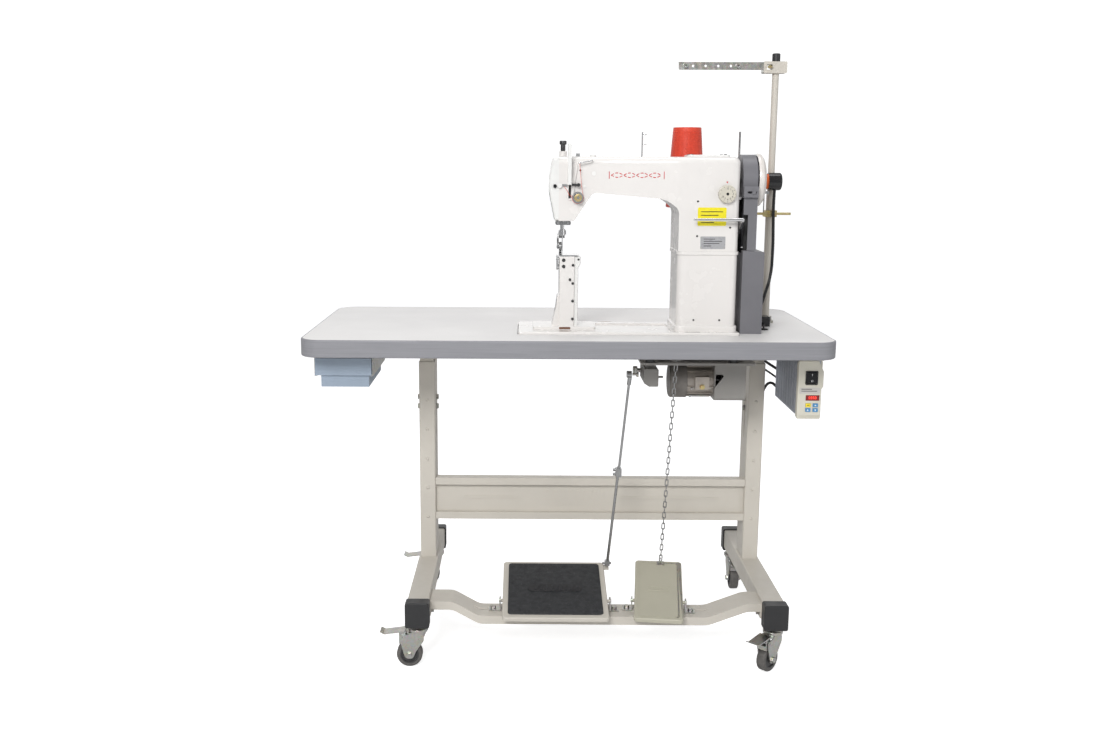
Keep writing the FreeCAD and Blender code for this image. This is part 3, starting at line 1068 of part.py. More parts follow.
def thread_guides():
    """Bent wire and sheet guides along the thread's path, and their screws."""
    face = HEAD_FRONT_Y
    z = SHEET_GUIDE_Z
    left_screw = rod((-30, face - 4, z - 3), (-30, face, z - 3), 4.2)
    white_knob = rod((-19, face - 6, z - 2), (-19, face, z - 2), 5.2)
    left_bar = fuse([box(-13.6, -1.7, face - 5, face - 3.4, z - 3, z + 1),
                     box(-13.6, -10, face - 5, face, z - 3, z + 1)])
    right_bar = fuse([box(8, 27, face - 8, face - 4, z - 2.5, z + 2.5),
                      box(17, 27, face - 5, face, z - 2.5, z + 2.5)])
    bar_screw = rod((23, face - 11, z), (23, face - 8, z), 4)
    eyelets = bent_tube([(54, face, 1163), (54, face - 9, 1163), (38, face - 11, 1160),
                         (25, face - 11, 1157)], 1.5)
    eyelet_end = ball((25, face - 11, 1157), 3.0)
    small_screw = rod((27, face - 1.2, 1141), (27, face, 1141), 2.2)
    white_screw = rod((37, face - 3, 1105), (37, face, 1105), 3.2)
    top_fin = fuse([rod((3, 172, ARM_TOP), (3, 172, ARM_TOP + 9), 2.2), ball((3, 172, ARM_TOP + 10), 3.4)])
    post = rod((171, BED_Y, ARM_TOP), (171, BED_Y, ARM_TOP + 56), 1.8)
    loops = [moved(Part.makeTorus(4.5, 1.2), 171 + 4.0, BED_Y, ARM_TOP + z) for z in (28, 50)]
    return group([tension_unit(), left_screw, white_knob, left_bar, right_bar, bar_screw,
                  fuse([eyelets, eyelet_end]), small_screw, white_screw, top_fin, fuse([post] + loops)])


def tension_knob():
    x, z, face = TENSION_X, TENSION_Z, HEAD_FRONT_Y
    knob = rod((x, face - 23, z), (x, face - 9.5, z), 9)
    knob = rounded(knob, 2.0, at("y", face - 23, longer=20))
    nut = ring((x, face - 24.5, z), (x, face - 20, z), 4.6, 3 + RUNNING_GAP)
    return group([knob.cut(rod((x, face - 30, z), (x, face, z), 4.6)),
                  fuse([nut, ring((x, face - 20, z), (x, face - 9.5, z), 4.6, 3 + RUNNING_GAP)])])


def pressure_knob():
    """Knurled screw on top of the head that sets the roller's pressure."""
    x, y = NEEDLE_X, PRESSER_Y
    stem = rod((x, y, 1146), (x, y, ARM_TOP + 14), 4.5)
    grip = rod((x, y, ARM_TOP + 13), (x, y, ARM_TOP + 28), 5.6)
    cap = rounded(rod((x, y, ARM_TOP + 27), (x, y, ARM_TOP + 36), 8.2), 2.0, longer_than(45))
    return fuse([stem, grip, cap])


def stitch_dial():
    """Stitch-length dial on the column's front."""
    y1, y0 = COLUMN_Y[0] - 0.4, COLUMN_Y[0] - 12
    dial = rod((DIAL_X, y0, DIAL_Z), (DIAL_X, y1, DIAL_Z), 20)
    dial = rounded(dial, 2.0, at("y", y0, longer=60))
    dial = dial.cut(rod((DIAL_X, y0 - 1, DIAL_Z), (DIAL_X, y0 + 3, DIAL_Z), 3.2))
    grips = []
    for i in range(24):
        grip = rod((DIAL_X + 21.0, y0 + 4, DIAL_Z), (DIAL_X + 21.0, y1 + 1, DIAL_Z), 1.6)
        grips.append(turned(grip, 15 * i, (DIAL_X, 0, DIAL_Z), (0, 1, 0)))
    shaft = rod((DIAL_X, y1 - 1, DIAL_Z), (DIAL_X, COLUMN_Y[0] + 12, DIAL_Z), 5)
    return fuse([dial.cut(grips), shaft])


def reverse_lever():
    """Feed-reversing bar across the column's front, on a pivot in its right side."""
    y, z, right = 100.0, 1033.0, 391.5
    bar = Part.makeCone(3.2, 4.2, right - 284, V(284, y, z), V(1, 0, 0))
    tip = ball((284, y, z), 3.2)
    elbow = ball((right, y, z), 4.2)
    arm = slab_yz([(y - 3, z + 3, 2), (y + 4, z + 4, 2), (REVERSE_Y + 8, REVERSE_Z + 7, 7),
                   (REVERSE_Y + 8, REVERSE_Z - 9, 7),
                   (REVERSE_Y - 8, REVERSE_Z - 9, 7), (y - 4, z - 4, 2)], 389, 394)
    shaft = rod((COLUMN_X[1] - 10, REVERSE_Y, REVERSE_Z), (389, REVERSE_Y, REVERSE_Z), 6)
    return fuse([bar, tip, elbow, arm, shaft])


def belt_guard():
    """Three fixed covers: over the pulley, down the belt, and the tall box on the table."""
    x0, x1, y0, y1, wall = 396.0, 429.2, 132.0, 248.0, 2.5
    low = 1082.0
    radius = (y1 - y0) / 2
    outer = fuse([rod((x0, BED_Y, SHAFT_Z), (x1, BED_Y, SHAFT_Z), radius),
                  box(x0, x1, y0, y1, low, SHAFT_Z)])
    inner = fuse([rod((x0 + wall, BED_Y, SHAFT_Z), (x1 + 1, BED_Y, SHAFT_Z), radius - wall),
                  box(x0 + wall, x1 + 1, y0 + wall, y1 - wall, low - 1, SHAFT_Z)])
    upper = outer.cut(inner).cut(rod((x0 - 1, BED_Y, SHAFT_Z), (x0 + wall + 1, BED_Y, SHAFT_Z), 12))
    upper = upper.common(box(x0, x1, y0, y1, low, SHAFT_Z + radius))
    tab = box(x0, x1, 120, y0 + 1, low, low + 25)
    tab = tab.cut(box(x0 + wall, x1 - wall, 120 + wall, y0 + 2, low - 1, low + 25 - wall))
    tab = tab.cut(slab_xz(rectangle(404, 425, 1091, 1096, 2.4), 119, 123))
    upper = fuse([upper, tab])
    screw = fuse([rod((418, 118, 1093.5), (418, 120, 1093.5), 4.5),
                  rod((418, 119, 1093.5), (418, 124, 1093.5), 2)])
    box_top = 962.0
    neck = box(398, 429, 128, 246, box_top, low - 0.3)
    neck = neck.cut(box(397, 426.5, 130.5, 243.5, box_top - 1, low + 1))
    neck = neck.cut(box(397, 408.5, 127, 200, box_top - 1, 1043))
    bx0, bx1 = 400.0, 449.5
    body = slab_xz([(bx0, TABLE_TOP), (bx1, TABLE_TOP), (bx1, box_top - 3, 3), (bx0, box_top, 2)], 128, 246)
    body = body.cut(slab_xz([(bx0 + wall, TABLE_TOP - 1), (bx1 - wall, TABLE_TOP - 1),
                             (bx1 - wall, box_top - 5.6), (bx0 + wall, box_top - 2.6)],
                            128 + wall, 246 - wall))
    body = body.cut(box(bx0 - 1, 426, 150, 236, box_top - 8, box_top + 2))
    return group([upper, neck.cut(body), body, screw])


# ---- thread stand, lamp and leads --------------------------------------------

def thread_stand():
    """Pole on the table with the guide arm at the top and the spool rest halfway up."""
    x, y = POLE_X, POLE_Y
    base = rounded(rod((x, y, TABLE_TOP), (x, y, TABLE_TOP + 6), 20), 1.5, at("z", TABLE_TOP + 6))
    nut = hex_prism((x, y, TABLE_TOP + 6), "z", 28, 10)
    pole = rod((x, y, TABLE_TOP), (x, y, POLE_TOP), POLE_RADIUS)
    sleeve = rod((x, y, TABLE_TOP + 6), (x, y, 1092), POLE_RADIUS + 1.5)
    cap = rounded(rod((x, y, POLE_TOP - 5), (x, y, POLE_TOP + 14.5), 9.5), 3.0, at("z", POLE_TOP + 14.5))
    arm_z = 1386.0
    arm = slab_xz(rectangle(266, 470, arm_z - 9, arm_z + 9, 4), y - 15, y - 13)
    arm = fuse([arm, box(266, 470, y - 15, y - 7, arm_z + 7, arm_z + 9)])
    for hole_x in (300, 330, 360, 390):
        arm = arm.cut(rod((hole_x, y - 16, arm_z), (hole_x, y - 12, arm_z), 3))
    eyes = [ring((ex, y - 22, arm_z), (ex, y - 12, arm_z), 5.5, 2.6)
            for ex in (PIN_X[0] - 9, PIN_X[1] - 11)]
    clamp = box(468, 524, y - 15, y + 13, arm_z - 16, arm_z + 11)
    clamp = rounded(clamp, 3.0, along((0, 1, 0)))
    clamp = clamp.cut(box(476, 489, y - 16, y + 14, arm_z - 8, arm_z + 4))
    wing = fuse([rod((482, y - 21, arm_z - 2), (482, y - 15, arm_z - 2), 4),
                 box(476, 488, y - 21, y - 19, arm_z - 4, arm_z)])
    bar = fuse([rod((262, y - 14, BAR_Z), (548, y - 14, BAR_Z), 3.2),
                box(x - 14, x + 14, y - 18, y + 12, BAR_Z - 8, BAR_Z + 8)])
    stay = rod((482, y - 14, BAR_Z), (482, y - 14, 1090), 1.5)
    lug = box(479, 494, y - 17, y - 8, 1086, 1092)
    nuts = [hex_prism((x, y - 18, BAR_Z), "y", 13, -6), hex_prism((482, y - 17, BAR_Z), "y", 9, -5)]
    discs = [rounded(rod((px, y - 14, BAR_Z + 2), (px, y - 14, BAR_Z + 8), 30), 2.0, longer_than(100))
             for px in PIN_X]
    pins = [rod((px, y - 14, BAR_Z + 8), (px, y - 14, 1233), 2.4) for px in PIN_X]
    metal = fuse([base, nut, sleeve, pole])
    spool = fuse([bar] + nuts + discs).cut(metal)
    head = fuse([arm, clamp, wing] + eyes).cut(metal)
    return group([metal, cap.cut(metal), head, spool, fuse([stay, lug]).cut(metal).cut(spool)] + pins)


def thread_cone():
    """A full cone of thread on its tube; it lifts off its pin."""
    x, y, z0, z1 = PIN_X[0], POLE_Y - 14, BAR_Z + 8.3, 1240.0
    tube = Part.makeCone(31, 16, z1 - z0,
                         V(x, y, z0)).cut(Part.makeCone(29, 14, z1 - z0, V(x, y, z0 - 0.01)))
    winding = Part.makeCone(47, 33.5, 190, V(x, y, z0 + 6)).cut(Part.makeCone(31, 16, z1 - z0, V(x, y, z0)))
    winding = rounded(winding, 4.0, at("z", z0 + 6, longer=250))
    return group([winding, tube])


LAMP_NECK = [(503, 296, 1102), (502, 296, 1086), (501.5, 297, 1062), (503, 298, 1020),
             (505, 299, 970), (505, 300, 935), (504, 298, 905), (497, 290, 872), (488, 282, 850),
             (480, 275, 826), (470, 271, 805), (463, 268, 790)]
LAMP_LEAD = [(480, 250, 777), (480, 239, 777), (476, 225, 775), (472, 211, 777), (470, 200, 772),
             (470, 198, 760), (470, 198, 750)]


def lamp():
    """Round work lamp on a flexible neck, with its base block on the table."""
    y, z, r = 296.0, 1115.5, 21.0
    x0, x1 = LAMP_X
    head = rounded(rod((x0, y, z), (x1, y, z), r), 5.0, at("x", x1))
    bezel = ring((x0 - 15, y, z), (x0, y, z), 18, 14.5)
    lens = rod((x0 - 13, y, z), (x0 - 9, y, z), 14.5)
    neck = bent_tube(LAMP_NECK, 3.4, "lamp_neck").cut(head)
    base = box(458, 496, 250, 282, TABLE_TOP, TABLE_TOP + 24)
    base = rounded(base, 3.0, either(along((0, 0, 1)), at("z", TABLE_TOP + 24)))
    switch = rod((465, 248.4, 784), (465, 250, 784), 3.5)
    grommet = ring((470, 198, TABLE_TOP), (470, 198, TABLE_TOP + 2), 10, 7)
    return group([head, lens, bezel, neck.cut(base), base, switch, grommet])


MOTOR_LEAD = [(366, 252, 668), (366, 280, 668), (386, 318, 690), (428, 336, 692), (452, 364, 686),
              (466, 402, 684),
              (500, 420, 672), (536, 418, 648), (566, 412, 630), (570, 398, 627), (570, 385, 627)]
SPEED_LEAD = [(206, 245, 668), (206, 270, 668), (234, 304, 692), (288, 312, 690), (348, 318, 686),
              (404, 336, 680),
              (440, 368, 674), (462, 408, 666), (500, 428, 650), (540, 426, 624), (566, 416, 606),
              (572, 400, 602), (572, 385, 602)]
LOOP_LEAD = [(560, 385, 586), (560, 408, 586), (540, 428, 604), (520, 426, 572), (521, 420, 520),
             (517, 412, 484),
             (484, 410, 482), (482, 414, 520), (486, 420, 562), (488, 425, 612), (486, 428, 664),
             (486, 428, 716)]


def electrical_leads():
    """Leads from motor and speed unit to the control box, and the lead looped behind the leg."""
    return group([bent_tube(MOTOR_LEAD, 3.5, "motor_lead"), bent_tube(SPEED_LEAD, 2.5, "speed_lead"),
                  bent_tube(LOOP_LEAD, 3.5, "loop_lead"), bent_tube(LAMP_LEAD, 2.0, "lamp_lead")])


# ---- pedals ------------------------------------------------------------------
def pedal_plate(x0, x1, depth, front_y, skirt):
    """A level pedal plate with turned-down edges, its pivot line at PEDAL_PIVOT_Y."""
    top = PEDAL_PIVOT_Z + 6
    plate = slab_xy(rectangle(x0, x1, front_y, front_y + depth, 9), top - skirt, top)
    plate = rounded(plate, 3.0, at("z", top))
    hollow = slab_xy(rectangle(x0 + 2.5, x1 - 2.5, front_y + 2.5, front_y + depth - 2.5, 6),
                     top - skirt - 1, top - 3)
    return plate.cut(hollow)


def pedal_pivot(x0, x1):
    """The pivot rod under a pedal plate."""
    return rod((x0 - 9, PEDAL_PIVOT_Y, PEDAL_PIVOT_Z), (x1 + 9, PEDAL_PIVOT_Y, PEDAL_PIVOT_Z), 4)


def tilted(shape, angle):
    return turned(shape, angle, (0, PEDAL_PIVOT_Y, PEDAL_PIVOT_Z), (1, 0, 0))


def treadle():
    """Foot treadle: plate with pivot rod, rod bracket at the back, and its rubber mat."""
    x0, x1 = TREADLE_X
    front_y = -2.0
    top = PEDAL_PIVOT_Z + 6
    plate = pedal_plate(x0, x1, TREADLE_DEPTH, front_y, PEDAL_THICKNESS)
    lug = box(x1 - 14, x1 + 12, front_y + TREADLE_DEPTH - 26, front_y + TREADLE_DEPTH - 8, top - 6, top - 3)
    stud = rod((x1 + 2, ROD_FOOT_Y, top - 4.5), (x1 + 2, ROD_FOOT_Y, top + 0.5), 4)
    plate = fuse([plate, pedal_pivot(x0, x1), lug])
    mat = slab_xy(rectangle(x0 + 13, x1 - 13, front_y + 13, front_y + TREADLE_DEPTH - 12, 8), top, top + 3)
    mat = rounded(mat, 1.0, at("z", top + 3))
    pad = slab_xy(rectangle(-86, 42, 98, 128, 14), top + 3, top + 5)
    return tilted(group([plate, fuse([mat, pad])]), TREADLE_TILT)


def tilt_point(x, y, z, angle):
    """Where a point of a level pedal goes when the pedal is tilted."""
    a = math.radians(angle)
    dy, dz = y - PEDAL_PIVOT_Y, z - PEDAL_PIVOT_Z
    return (x, PEDAL_PIVOT_Y + dy * math.cos(a) - dz * math.sin(a),
            PEDAL_PIVOT_Z + dy * math.sin(a) + dz * math.cos(a))


def rod_ends():
    low = tilt_point(TREADLE_X[1] + 8, ROD_FOOT_Y, PEDAL_PIVOT_Z + 12, TREADLE_TILT)
    high = (152.5, BALL_Y, SPEED_SHAFT_Z + 3)
    return V(*low), V(*high)


def pitman_rod():
    """Adjustable rod from treadle to speed lever: two rods joined by a clamp, and end fittings."""
    low, high = rod_ends()
    way = (high - low).normalize()
    split = (low + high) * 0.5
    side = V(0, -8, 0)
    low_rod = rod(tuple(low + way * 6), tuple(split + way * 14), 3.4)
    high_rod = rod(tuple(split - way * 20 + side), tuple(high - way * 24), 3.0)
    clamp = box(split.x - 7, split.x + 7, split.y - 13, split.y + 5, split.z - 11, split.z + 9)
    bolts = [zinc_bolt((split.x - 7, split.y - 4, split.z + dz), "x", -1, 4.0) for dz in (-6, 5)]
    shackle = fuse([box(low.x - 6, low.x + 6, low.y - 7, low.y + 7, low.z - 3, low.z + 9),
                    rod((low.x - 12, low.y, low.z + 2), (low.x + 10, low.y, low.z + 2), 3)])
    socket = rod(tuple(high - way * 26), tuple(high - way * 2), 4.8)
    cup = rod((high.x - 8, high.y, high.z), (high.x + 3.5, high.y, high.z), 8)
    return fuse([low_rod, high_rod, clamp, shackle, socket, cup] + bolts)


def lift_pedal():
    """The narrow pedal that raises the roller foot, turned a little in plan."""
    x0, x1 = LIFT_PEDAL_X
    front_y = -4.0
    top = PEDAL_PIVOT_Z + 6
    depth = 245.0
    plate = pedal_plate(x0, x1, depth, front_y, PEDAL_THICKNESS)
    bead = [slab_xy(rectangle(x0 + 9, x1 - 9, front_y + 9, front_y + depth - 9, 6), top - 0.5, top + 0.8)
            .cut(slab_xy(rectangle(x0 + 12, x1 - 12, front_y + 12, front_y + depth - 12, 5), top - 1,
                         top + 1))]
    middle = (x0 + x1) / 2
    hook = box(middle - 4, middle + 14, front_y + depth - 20, front_y + depth - 6, top - 1, top + 3)
    eye = ring((middle + 4, CHAIN_FOOT_Y, top + 9), (middle + 6, CHAIN_FOOT_Y, top + 9), 8, 5)
    pedal = fuse([plate, pedal_pivot(x0, x1), hook, eye] + bead)
    return turned(tilted(pedal, TREADLE_TILT), LIFT_PEDAL_YAW, (middle, PEDAL_PIVOT_Y, 0))


def chain_foot():
    """The middle of the lift pedal's eye."""
    middle = sum(LIFT_PEDAL_X) / 2
    x, y, z = tilt_point(middle + 5, CHAIN_FOOT_Y, PEDAL_PIVOT_Z + 15, TREADLE_TILT)
    a = math.radians(LIFT_PEDAL_YAW)
    dx, dy = x - middle, y - PEDAL_PIVOT_Y
    return V(middle + dx * math.cos(a) - dy * math.sin(a),
             PEDAL_PIVOT_Y + dx * math.sin(a) + dy * math.cos(a), z)


def chain_link(wire, length, width):
    """One oval link, its long way along Z, centred on the origin."""
    straight = length - width
    r = (width - wire) / 2
    sides = [rod((s * r, 0, -straight / 2), (s * r, 0, straight / 2), wire / 2) for s in (-1, 1)]
    ends = []
    for way in (1, -1):
        half = Part.makeTorus(r, wire / 2, V(0, 0, 0), V(0, 1, 0)).common(
            box(-width, width, -wire, wire, 0, width) if way > 0 else box(-width, width, -wire, wire,
                                                                          -width, 0))
        ends.append(moved(half, z=way * straight / 2))
    return sides[0].multiFuse([sides[1]] + ends).removeSplitter()


def lift_chain():
    """Welded chain from the lift pedal up through the table, links turned a quarter each."""
    foot, top = chain_foot(), V(*CHAIN_TOP)
    way = top - foot
    wire, width = 2.4, 9.0
    count = round(way.Length / CHAIN_LINK)
    pitch = way.Length / count
    link = chain_link(wire, pitch + 2 * wire + 0.2, width)
    turn = FreeCAD.Rotation(V(0, 0, 1), way)
    way.normalize()
    links = []
    for i in range(count):
        one = turned(link, LIFT_PEDAL_YAW + 90 * (i % 2), (0, 0, 0))
        one.Placement = FreeCAD.Placement(foot + way * pitch * (i + 0.55), turn).multiply(one.Placement)
        links.append(one)
    return group(links)


# ---- every node --------------------------------------------------------------
NODES = {
    "table_top": table_top,
    "edge_band": edge_band,
    "stand_legs": stand_legs,
    "foot_caps": foot_caps,
    "stretcher": stretcher,
    "pedal_beam": pedal_beam,
    "stand_hardware": stand_hardware,
    "under_table_brackets": under_table_brackets,
    "drawer": drawer,
    "motor": motor,
    "motor_pulley": motor_pulley,
    "speed_lever": speed_lever,
    "control_box": control_box,
    "control_panel": control_panel,
    "power_rocker": power_rocker,
    "bed_casting": bed_casting,
    "arm_casting": arm_casting,
    "head_covers": head_covers,
    "post_casting": post_casting,
    "post_covers": post_covers,
    "belt_guard": belt_guard,
    "belts": belts,
    "handwheel": handwheel,
    "main_shaft": main_shaft,
    "lower_shaft": lower_shaft,
    "hook_shaft": hook_shaft,
    "needle_bar": needle_bar,
    "presser_bar": presser_bar,
    "presser_roller": presser_roller,
    "feed_wheel": feed_wheel,
    "take_up_lever": take_up_lever,
    "thread_guides": thread_guides,
    "tension_knob": tension_knob,
    "pressure_knob": pressure_knob,
    "stitch_dial": stitch_dial,
    "reverse_lever": reverse_lever,
    "thread_stand": thread_stand,
    "thread_cone": thread_cone,
    "lamp": lamp,
    "electrical_leads": electrical_leads,
    "treadle": treadle,
    "pitman_rod": pitman_rod,
    "lift_pedal": lift_pedal,
    "lift_chain": lift_chain,
}
for key_name, key_place in KEYS.items():
    NODES[key_name] = lambda place=key_place: panel_key(*place)
for caster_name in CASTER_HEADINGS:
    NODES[f"caster_{caster_name}_fork"] = lambda name=caster_name: place_caster(caster_fork(), name)
    NODES[f"caster_{caster_name}_wheel"] = lambda name=caster_name: place_caster(caster_wheel(), name)
    NODES[f"caster_{caster_name}_brake"] = lambda name=caster_name: place_caster(caster_brake(), name)


def main():
    os.makedirs("parts", exist_ok=True)
    whole = FreeCAD.BoundBox()
    for name, make in NODES.items():
        shape = moved(make(), y=-FOOTPRINT_MIDDLE_Y)
        if not shape.isValid():
            print(f"{name}: not a valid shape")
        whole.add(shape.BoundBox)
        shape.exportStep(f"parts/{name}.step")
    print(f"{len(NODES)} nodes; X {whole.XMin:.2f} to {whole.XMax:.2f}, "
          f"Y {whole.YMin:.2f} to {whole.YMax:.2f}, Z {whole.ZMin:.2f} to {whole.ZMax:.2f}")


if __name__ == "__main__":
    main()
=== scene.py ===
"""Looks of the post-bed sewing machine on its table. Metres, +Z up, +Y away from the operator."""

import math

import bmesh
import bpy
from mathutils import Matrix, Vector
from mathutils.bvhtree import BVHTree


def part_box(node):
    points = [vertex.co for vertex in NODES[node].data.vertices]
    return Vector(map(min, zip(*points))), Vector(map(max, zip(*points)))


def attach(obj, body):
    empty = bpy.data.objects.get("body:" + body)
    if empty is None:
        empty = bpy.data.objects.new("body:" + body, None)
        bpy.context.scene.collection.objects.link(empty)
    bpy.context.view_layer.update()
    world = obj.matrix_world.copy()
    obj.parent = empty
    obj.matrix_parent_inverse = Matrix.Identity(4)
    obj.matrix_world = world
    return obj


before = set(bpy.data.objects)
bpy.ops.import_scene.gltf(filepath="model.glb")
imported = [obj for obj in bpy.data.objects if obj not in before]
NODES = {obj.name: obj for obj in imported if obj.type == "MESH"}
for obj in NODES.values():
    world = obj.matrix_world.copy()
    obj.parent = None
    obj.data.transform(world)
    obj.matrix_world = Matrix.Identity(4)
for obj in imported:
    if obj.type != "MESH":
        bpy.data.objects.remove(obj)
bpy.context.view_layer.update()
MM = 0.001


# ---- camera and light --------------------------------------------------------
EYE = Vector((-0.096, -2.7189, 1.1543))
LOOK_DOWN = 0.1782              # radians
LOOK_LEFT = 0.0076
ROLL = 0.0041


def make_camera():
    data = bpy.data.cameras.new("camera")
    camera = bpy.data.objects.new("camera", data)
    bpy.context.scene.collection.objects.link(camera)
    data.sensor_width = 36.0
    data.lens = 36.78
    data.shift_x = 0.0304
    data.clip_start = 0.05
    data.clip_end = 60.0
    ahead = Vector((-math.sin(LOOK_LEFT) * math.cos(LOOK_DOWN), math.cos(LOOK_LEFT) * math.cos(LOOK_DOWN),
                    -math.sin(LOOK_DOWN)))
    right = Vector((math.cos(LOOK_LEFT), math.sin(LOOK_LEFT), 0))
    up = right.cross(ahead)
    rolled_right = right * math.cos(ROLL) + up * math.sin(ROLL)
    rolled_up = up * math.cos(ROLL) - right * math.sin(ROLL)
    turn = Matrix((rolled_right, rolled_up, -ahead)).transposed()
    camera.matrix_world = Matrix.Translation(EYE) @ turn.to_4x4()
    bpy.context.scene.camera = camera


def area_light(name, place, target, size, power, colour=(1, 1, 1)):
    data = bpy.data.lights.new(name, "AREA")
    data.shape = "RECTANGLE"
    data.size, data.size_y = size
    data.energy = power
    data.color = colour
    light = bpy.data.objects.new(name, data)
    bpy.context.scene.collection.objects.link(light)
    light.location = place
    light.rotation_euler = (Vector(target) - Vector(place)).to_track_quat("-Z", "Y").to_euler()


def make_world():
    """White behind the machine, dimmer beside it and towards the viewer, so that its sides have form."""
    world = bpy.data.worlds.new("studio")
    bpy.context.scene.world = world
    world.use_nodes = True
    nodes, links = world.node_tree.nodes, world.node_tree.links
    direction = nodes.new("ShaderNodeTexCoord")
    parts = nodes.new("ShaderNodeSeparateXYZ")
    ramp = nodes.new("ShaderNodeValToRGB")
    links.new(direction.outputs["Generated"], parts.inputs["Vector"])
    links.new(parts.outputs["Y"], ramp.inputs["Fac"])
    links.new(ramp.outputs["Color"], nodes["Background"].inputs["Color"])
    near, far = ramp.color_ramp.elements
    near.position, near.color = 0.25, (0.36, 0.365, 0.375, 1)
    far.position, far.color = 0.90, (1, 1, 1, 1)
    side = ramp.color_ramp.elements.new(0.72)
    side.color = (0.34, 0.34, 0.35, 1)
    nodes["Background"].inputs["Strength"].default_value = 1.12


def make_studio():
    make_world()
    bpy.context.scene.view_settings.view_transform = "Standard"
    centre = (0, 0, 0.7)
    area_light("key", (-1.2, -4.0, 3.1), centre, (1.6, 1.6), 160)
    area_light("fill", (3.4, -2.4, 1.7), centre, (1.6, 2.4), 20)
    area_light("top", (0.2, 0.4, 3.9), centre, (2.4, 1.6), 32)
    mesh = bpy.data.meshes.new("floor")
    half = 40.0
    corners = [(-half, -half, 0), (half, -half, 0), (half, half, 0), (-half, half, 0)]
    mesh.from_pydata(corners, [], [(0, 1, 2, 3)])
    floor = bpy.data.objects.new("floor", mesh)
    bpy.context.scene.collection.objects.link(floor)
    mesh.materials.append(plain_floor())


# ---- material building blocks ------------------------------------------------
class Shader:
    """A principled material with short calls for the nodes that every finish here needs."""

    def __init__(self, name, roughness=0.5, metallic=0.0, **sockets):
        self.material = bpy.data.materials.new(name)
        self.material.use_nodes = True
        self.tree = self.material.node_tree
        self.out = self.tree.nodes["Principled BSDF"]
        self.out.inputs["Roughness"].default_value = roughness
        self.out.inputs["Metallic"].default_value = metallic
        for key, value in sockets.items():
            self.out.inputs[key.replace("_", " ")].default_value = value
        self.place = self.node("ShaderNodeTexCoord").outputs["Object"]

    def node(self, kind, **settings):
        made = self.tree.nodes.new(kind)
        for key, value in settings.items():
            if key in made.inputs:
                made.inputs[key].default_value = value
            else:
                setattr(made, key, value)
        return made

    def link(self, a, b):
        self.tree.links.new(a, b)

    def stretched(self, scale):
        mapping = self.node("ShaderNodeMapping")
        mapping.inputs["Scale"].default_value = scale
        self.link(self.place, mapping.inputs["Vector"])
        return mapping.outputs["Vector"]

    def noise(self, scale, detail=3.0, rough=0.55, place=None):
        made = self.node("ShaderNodeTexNoise", Scale=scale, Detail=detail, Roughness=rough)
        self.link(place or self.place, made.inputs["Vector"])
        return made.outputs["Fac"]

    def cells(self, scale, output="Distance", place=None, **settings):
        made = self.node("ShaderNodeTexVoronoi", Scale=scale, **settings)
        self.link(place or self.place, made.inputs["Vector"])
        return made.outputs[output]

    def ramp(self, value, *stops):
        """stops are (position, colour) pairs; a number stands for a grey."""
        made = self.node("ShaderNodeValToRGB")
        elements = made.color_ramp.elements
        while len(elements) < len(stops):
            elements.new(0.5)
        for element, (position, colour) in zip(elements, stops):
            element.position = position
            element.color = (colour,) * 3 + (1,) if isinstance(colour, (int, float)) else (*colour, 1)
        self.link(value, made.inputs["Fac"])
        return made.outputs["Color"]

    def mix(self, factor, a, b, kind="MIX"):
        made = self.node("ShaderNodeMixRGB", blend_type=kind)
        for socket, value in (("Fac", factor), ("Color1", a), ("Color2", b)):
            if isinstance(value, (int, float)):
                made.inputs[socket].default_value = value if socket == "Fac" else (value,) * 3 + (1,)
            elif isinstance(value, tuple):
                made.inputs[socket].default_value = (*value, 1)
            else:
                self.link(value, made.inputs[socket])
        return made.outputs["Color"]

    def colour(self, socket):
        self.link(socket, self.out.inputs["Base Color"])
        return self

    def roughness(self, socket):
        self.link(socket, self.out.inputs["Roughness"])
        return self

    def bump(self, height, strength=0.3, distance=0.0005):
        made = self.node("ShaderNodeBump", Strength=strength, Distance=distance)
        self.link(height, made.inputs["Height"])
        last = self.out.inputs["Normal"].links
        if last:
            self.link(last[0].from_socket, made.inputs["Normal"])
        self.link(made.outputs["Normal"], self.out.inputs["Normal"])
        return self


def shade(colour, by):
    return tuple(min(1.0, c * by) for c in colour)


def plain_floor():
    s = Shader("floor", roughness=0.9)
    s.out.inputs["Emission Color"].default_value = (1, 1, 1, 1)
    seen = s.node("ShaderNodeMath", operation="MULTIPLY")
    s.link(s.node("ShaderNodeLightPath").outputs["Is Camera Ray"], seen.inputs[0])
    seen.inputs[1].default_value = 0.66
    s.link(seen.outputs["Value"], s.out.inputs["Emission Strength"])
    s.colour(s.ramp(s.noise(2.0), (0.3, 0.78), (0.7, 0.80)))
    return s.material


# ---- finishes ----------------------------------------------------------------
def laminate():
    """Light grey melamine with a fine stipple."""
    s = Shader("laminate", roughness=0.42)
    wide = s.ramp(s.noise(3.5, 2), (0.3, (0.69, 0.675, 0.665)), (0.7, (0.73, 0.715, 0.70)))
    fine = s.ramp(s.noise(1400, 2), (0.35, 0.93), (0.65, 1.0))
    s.colour(s.mix(1.0, wide, fine, "MULTIPLY"))
    s.roughness(s.ramp(s.noise(9, 4), (0.3, 0.36), (0.7, 0.48)))
    return s.bump(s.noise(900, 2), 0.25, 0.0002).material


def chipboard():
    """Pressed wood chips where the top is cut through."""
    s = Shader("chipboard", roughness=0.8)
    chips = s.ramp(s.cells(420, "Color", feature="F1"),
                   (0.2, (0.20, 0.115, 0.06)), (0.8, (0.36, 0.235, 0.13)))
    s.colour(s.mix(0.4, chips, s.ramp(s.noise(60, 4), (0.3, 0.3), (0.7, 0.7)), "SOFT_LIGHT"))
    s.roughness(s.ramp(s.noise(80, 3), (0.3, 0.7), (0.7, 0.9)))
    return s.bump(s.cells(420), 0.5, 0.0006).material


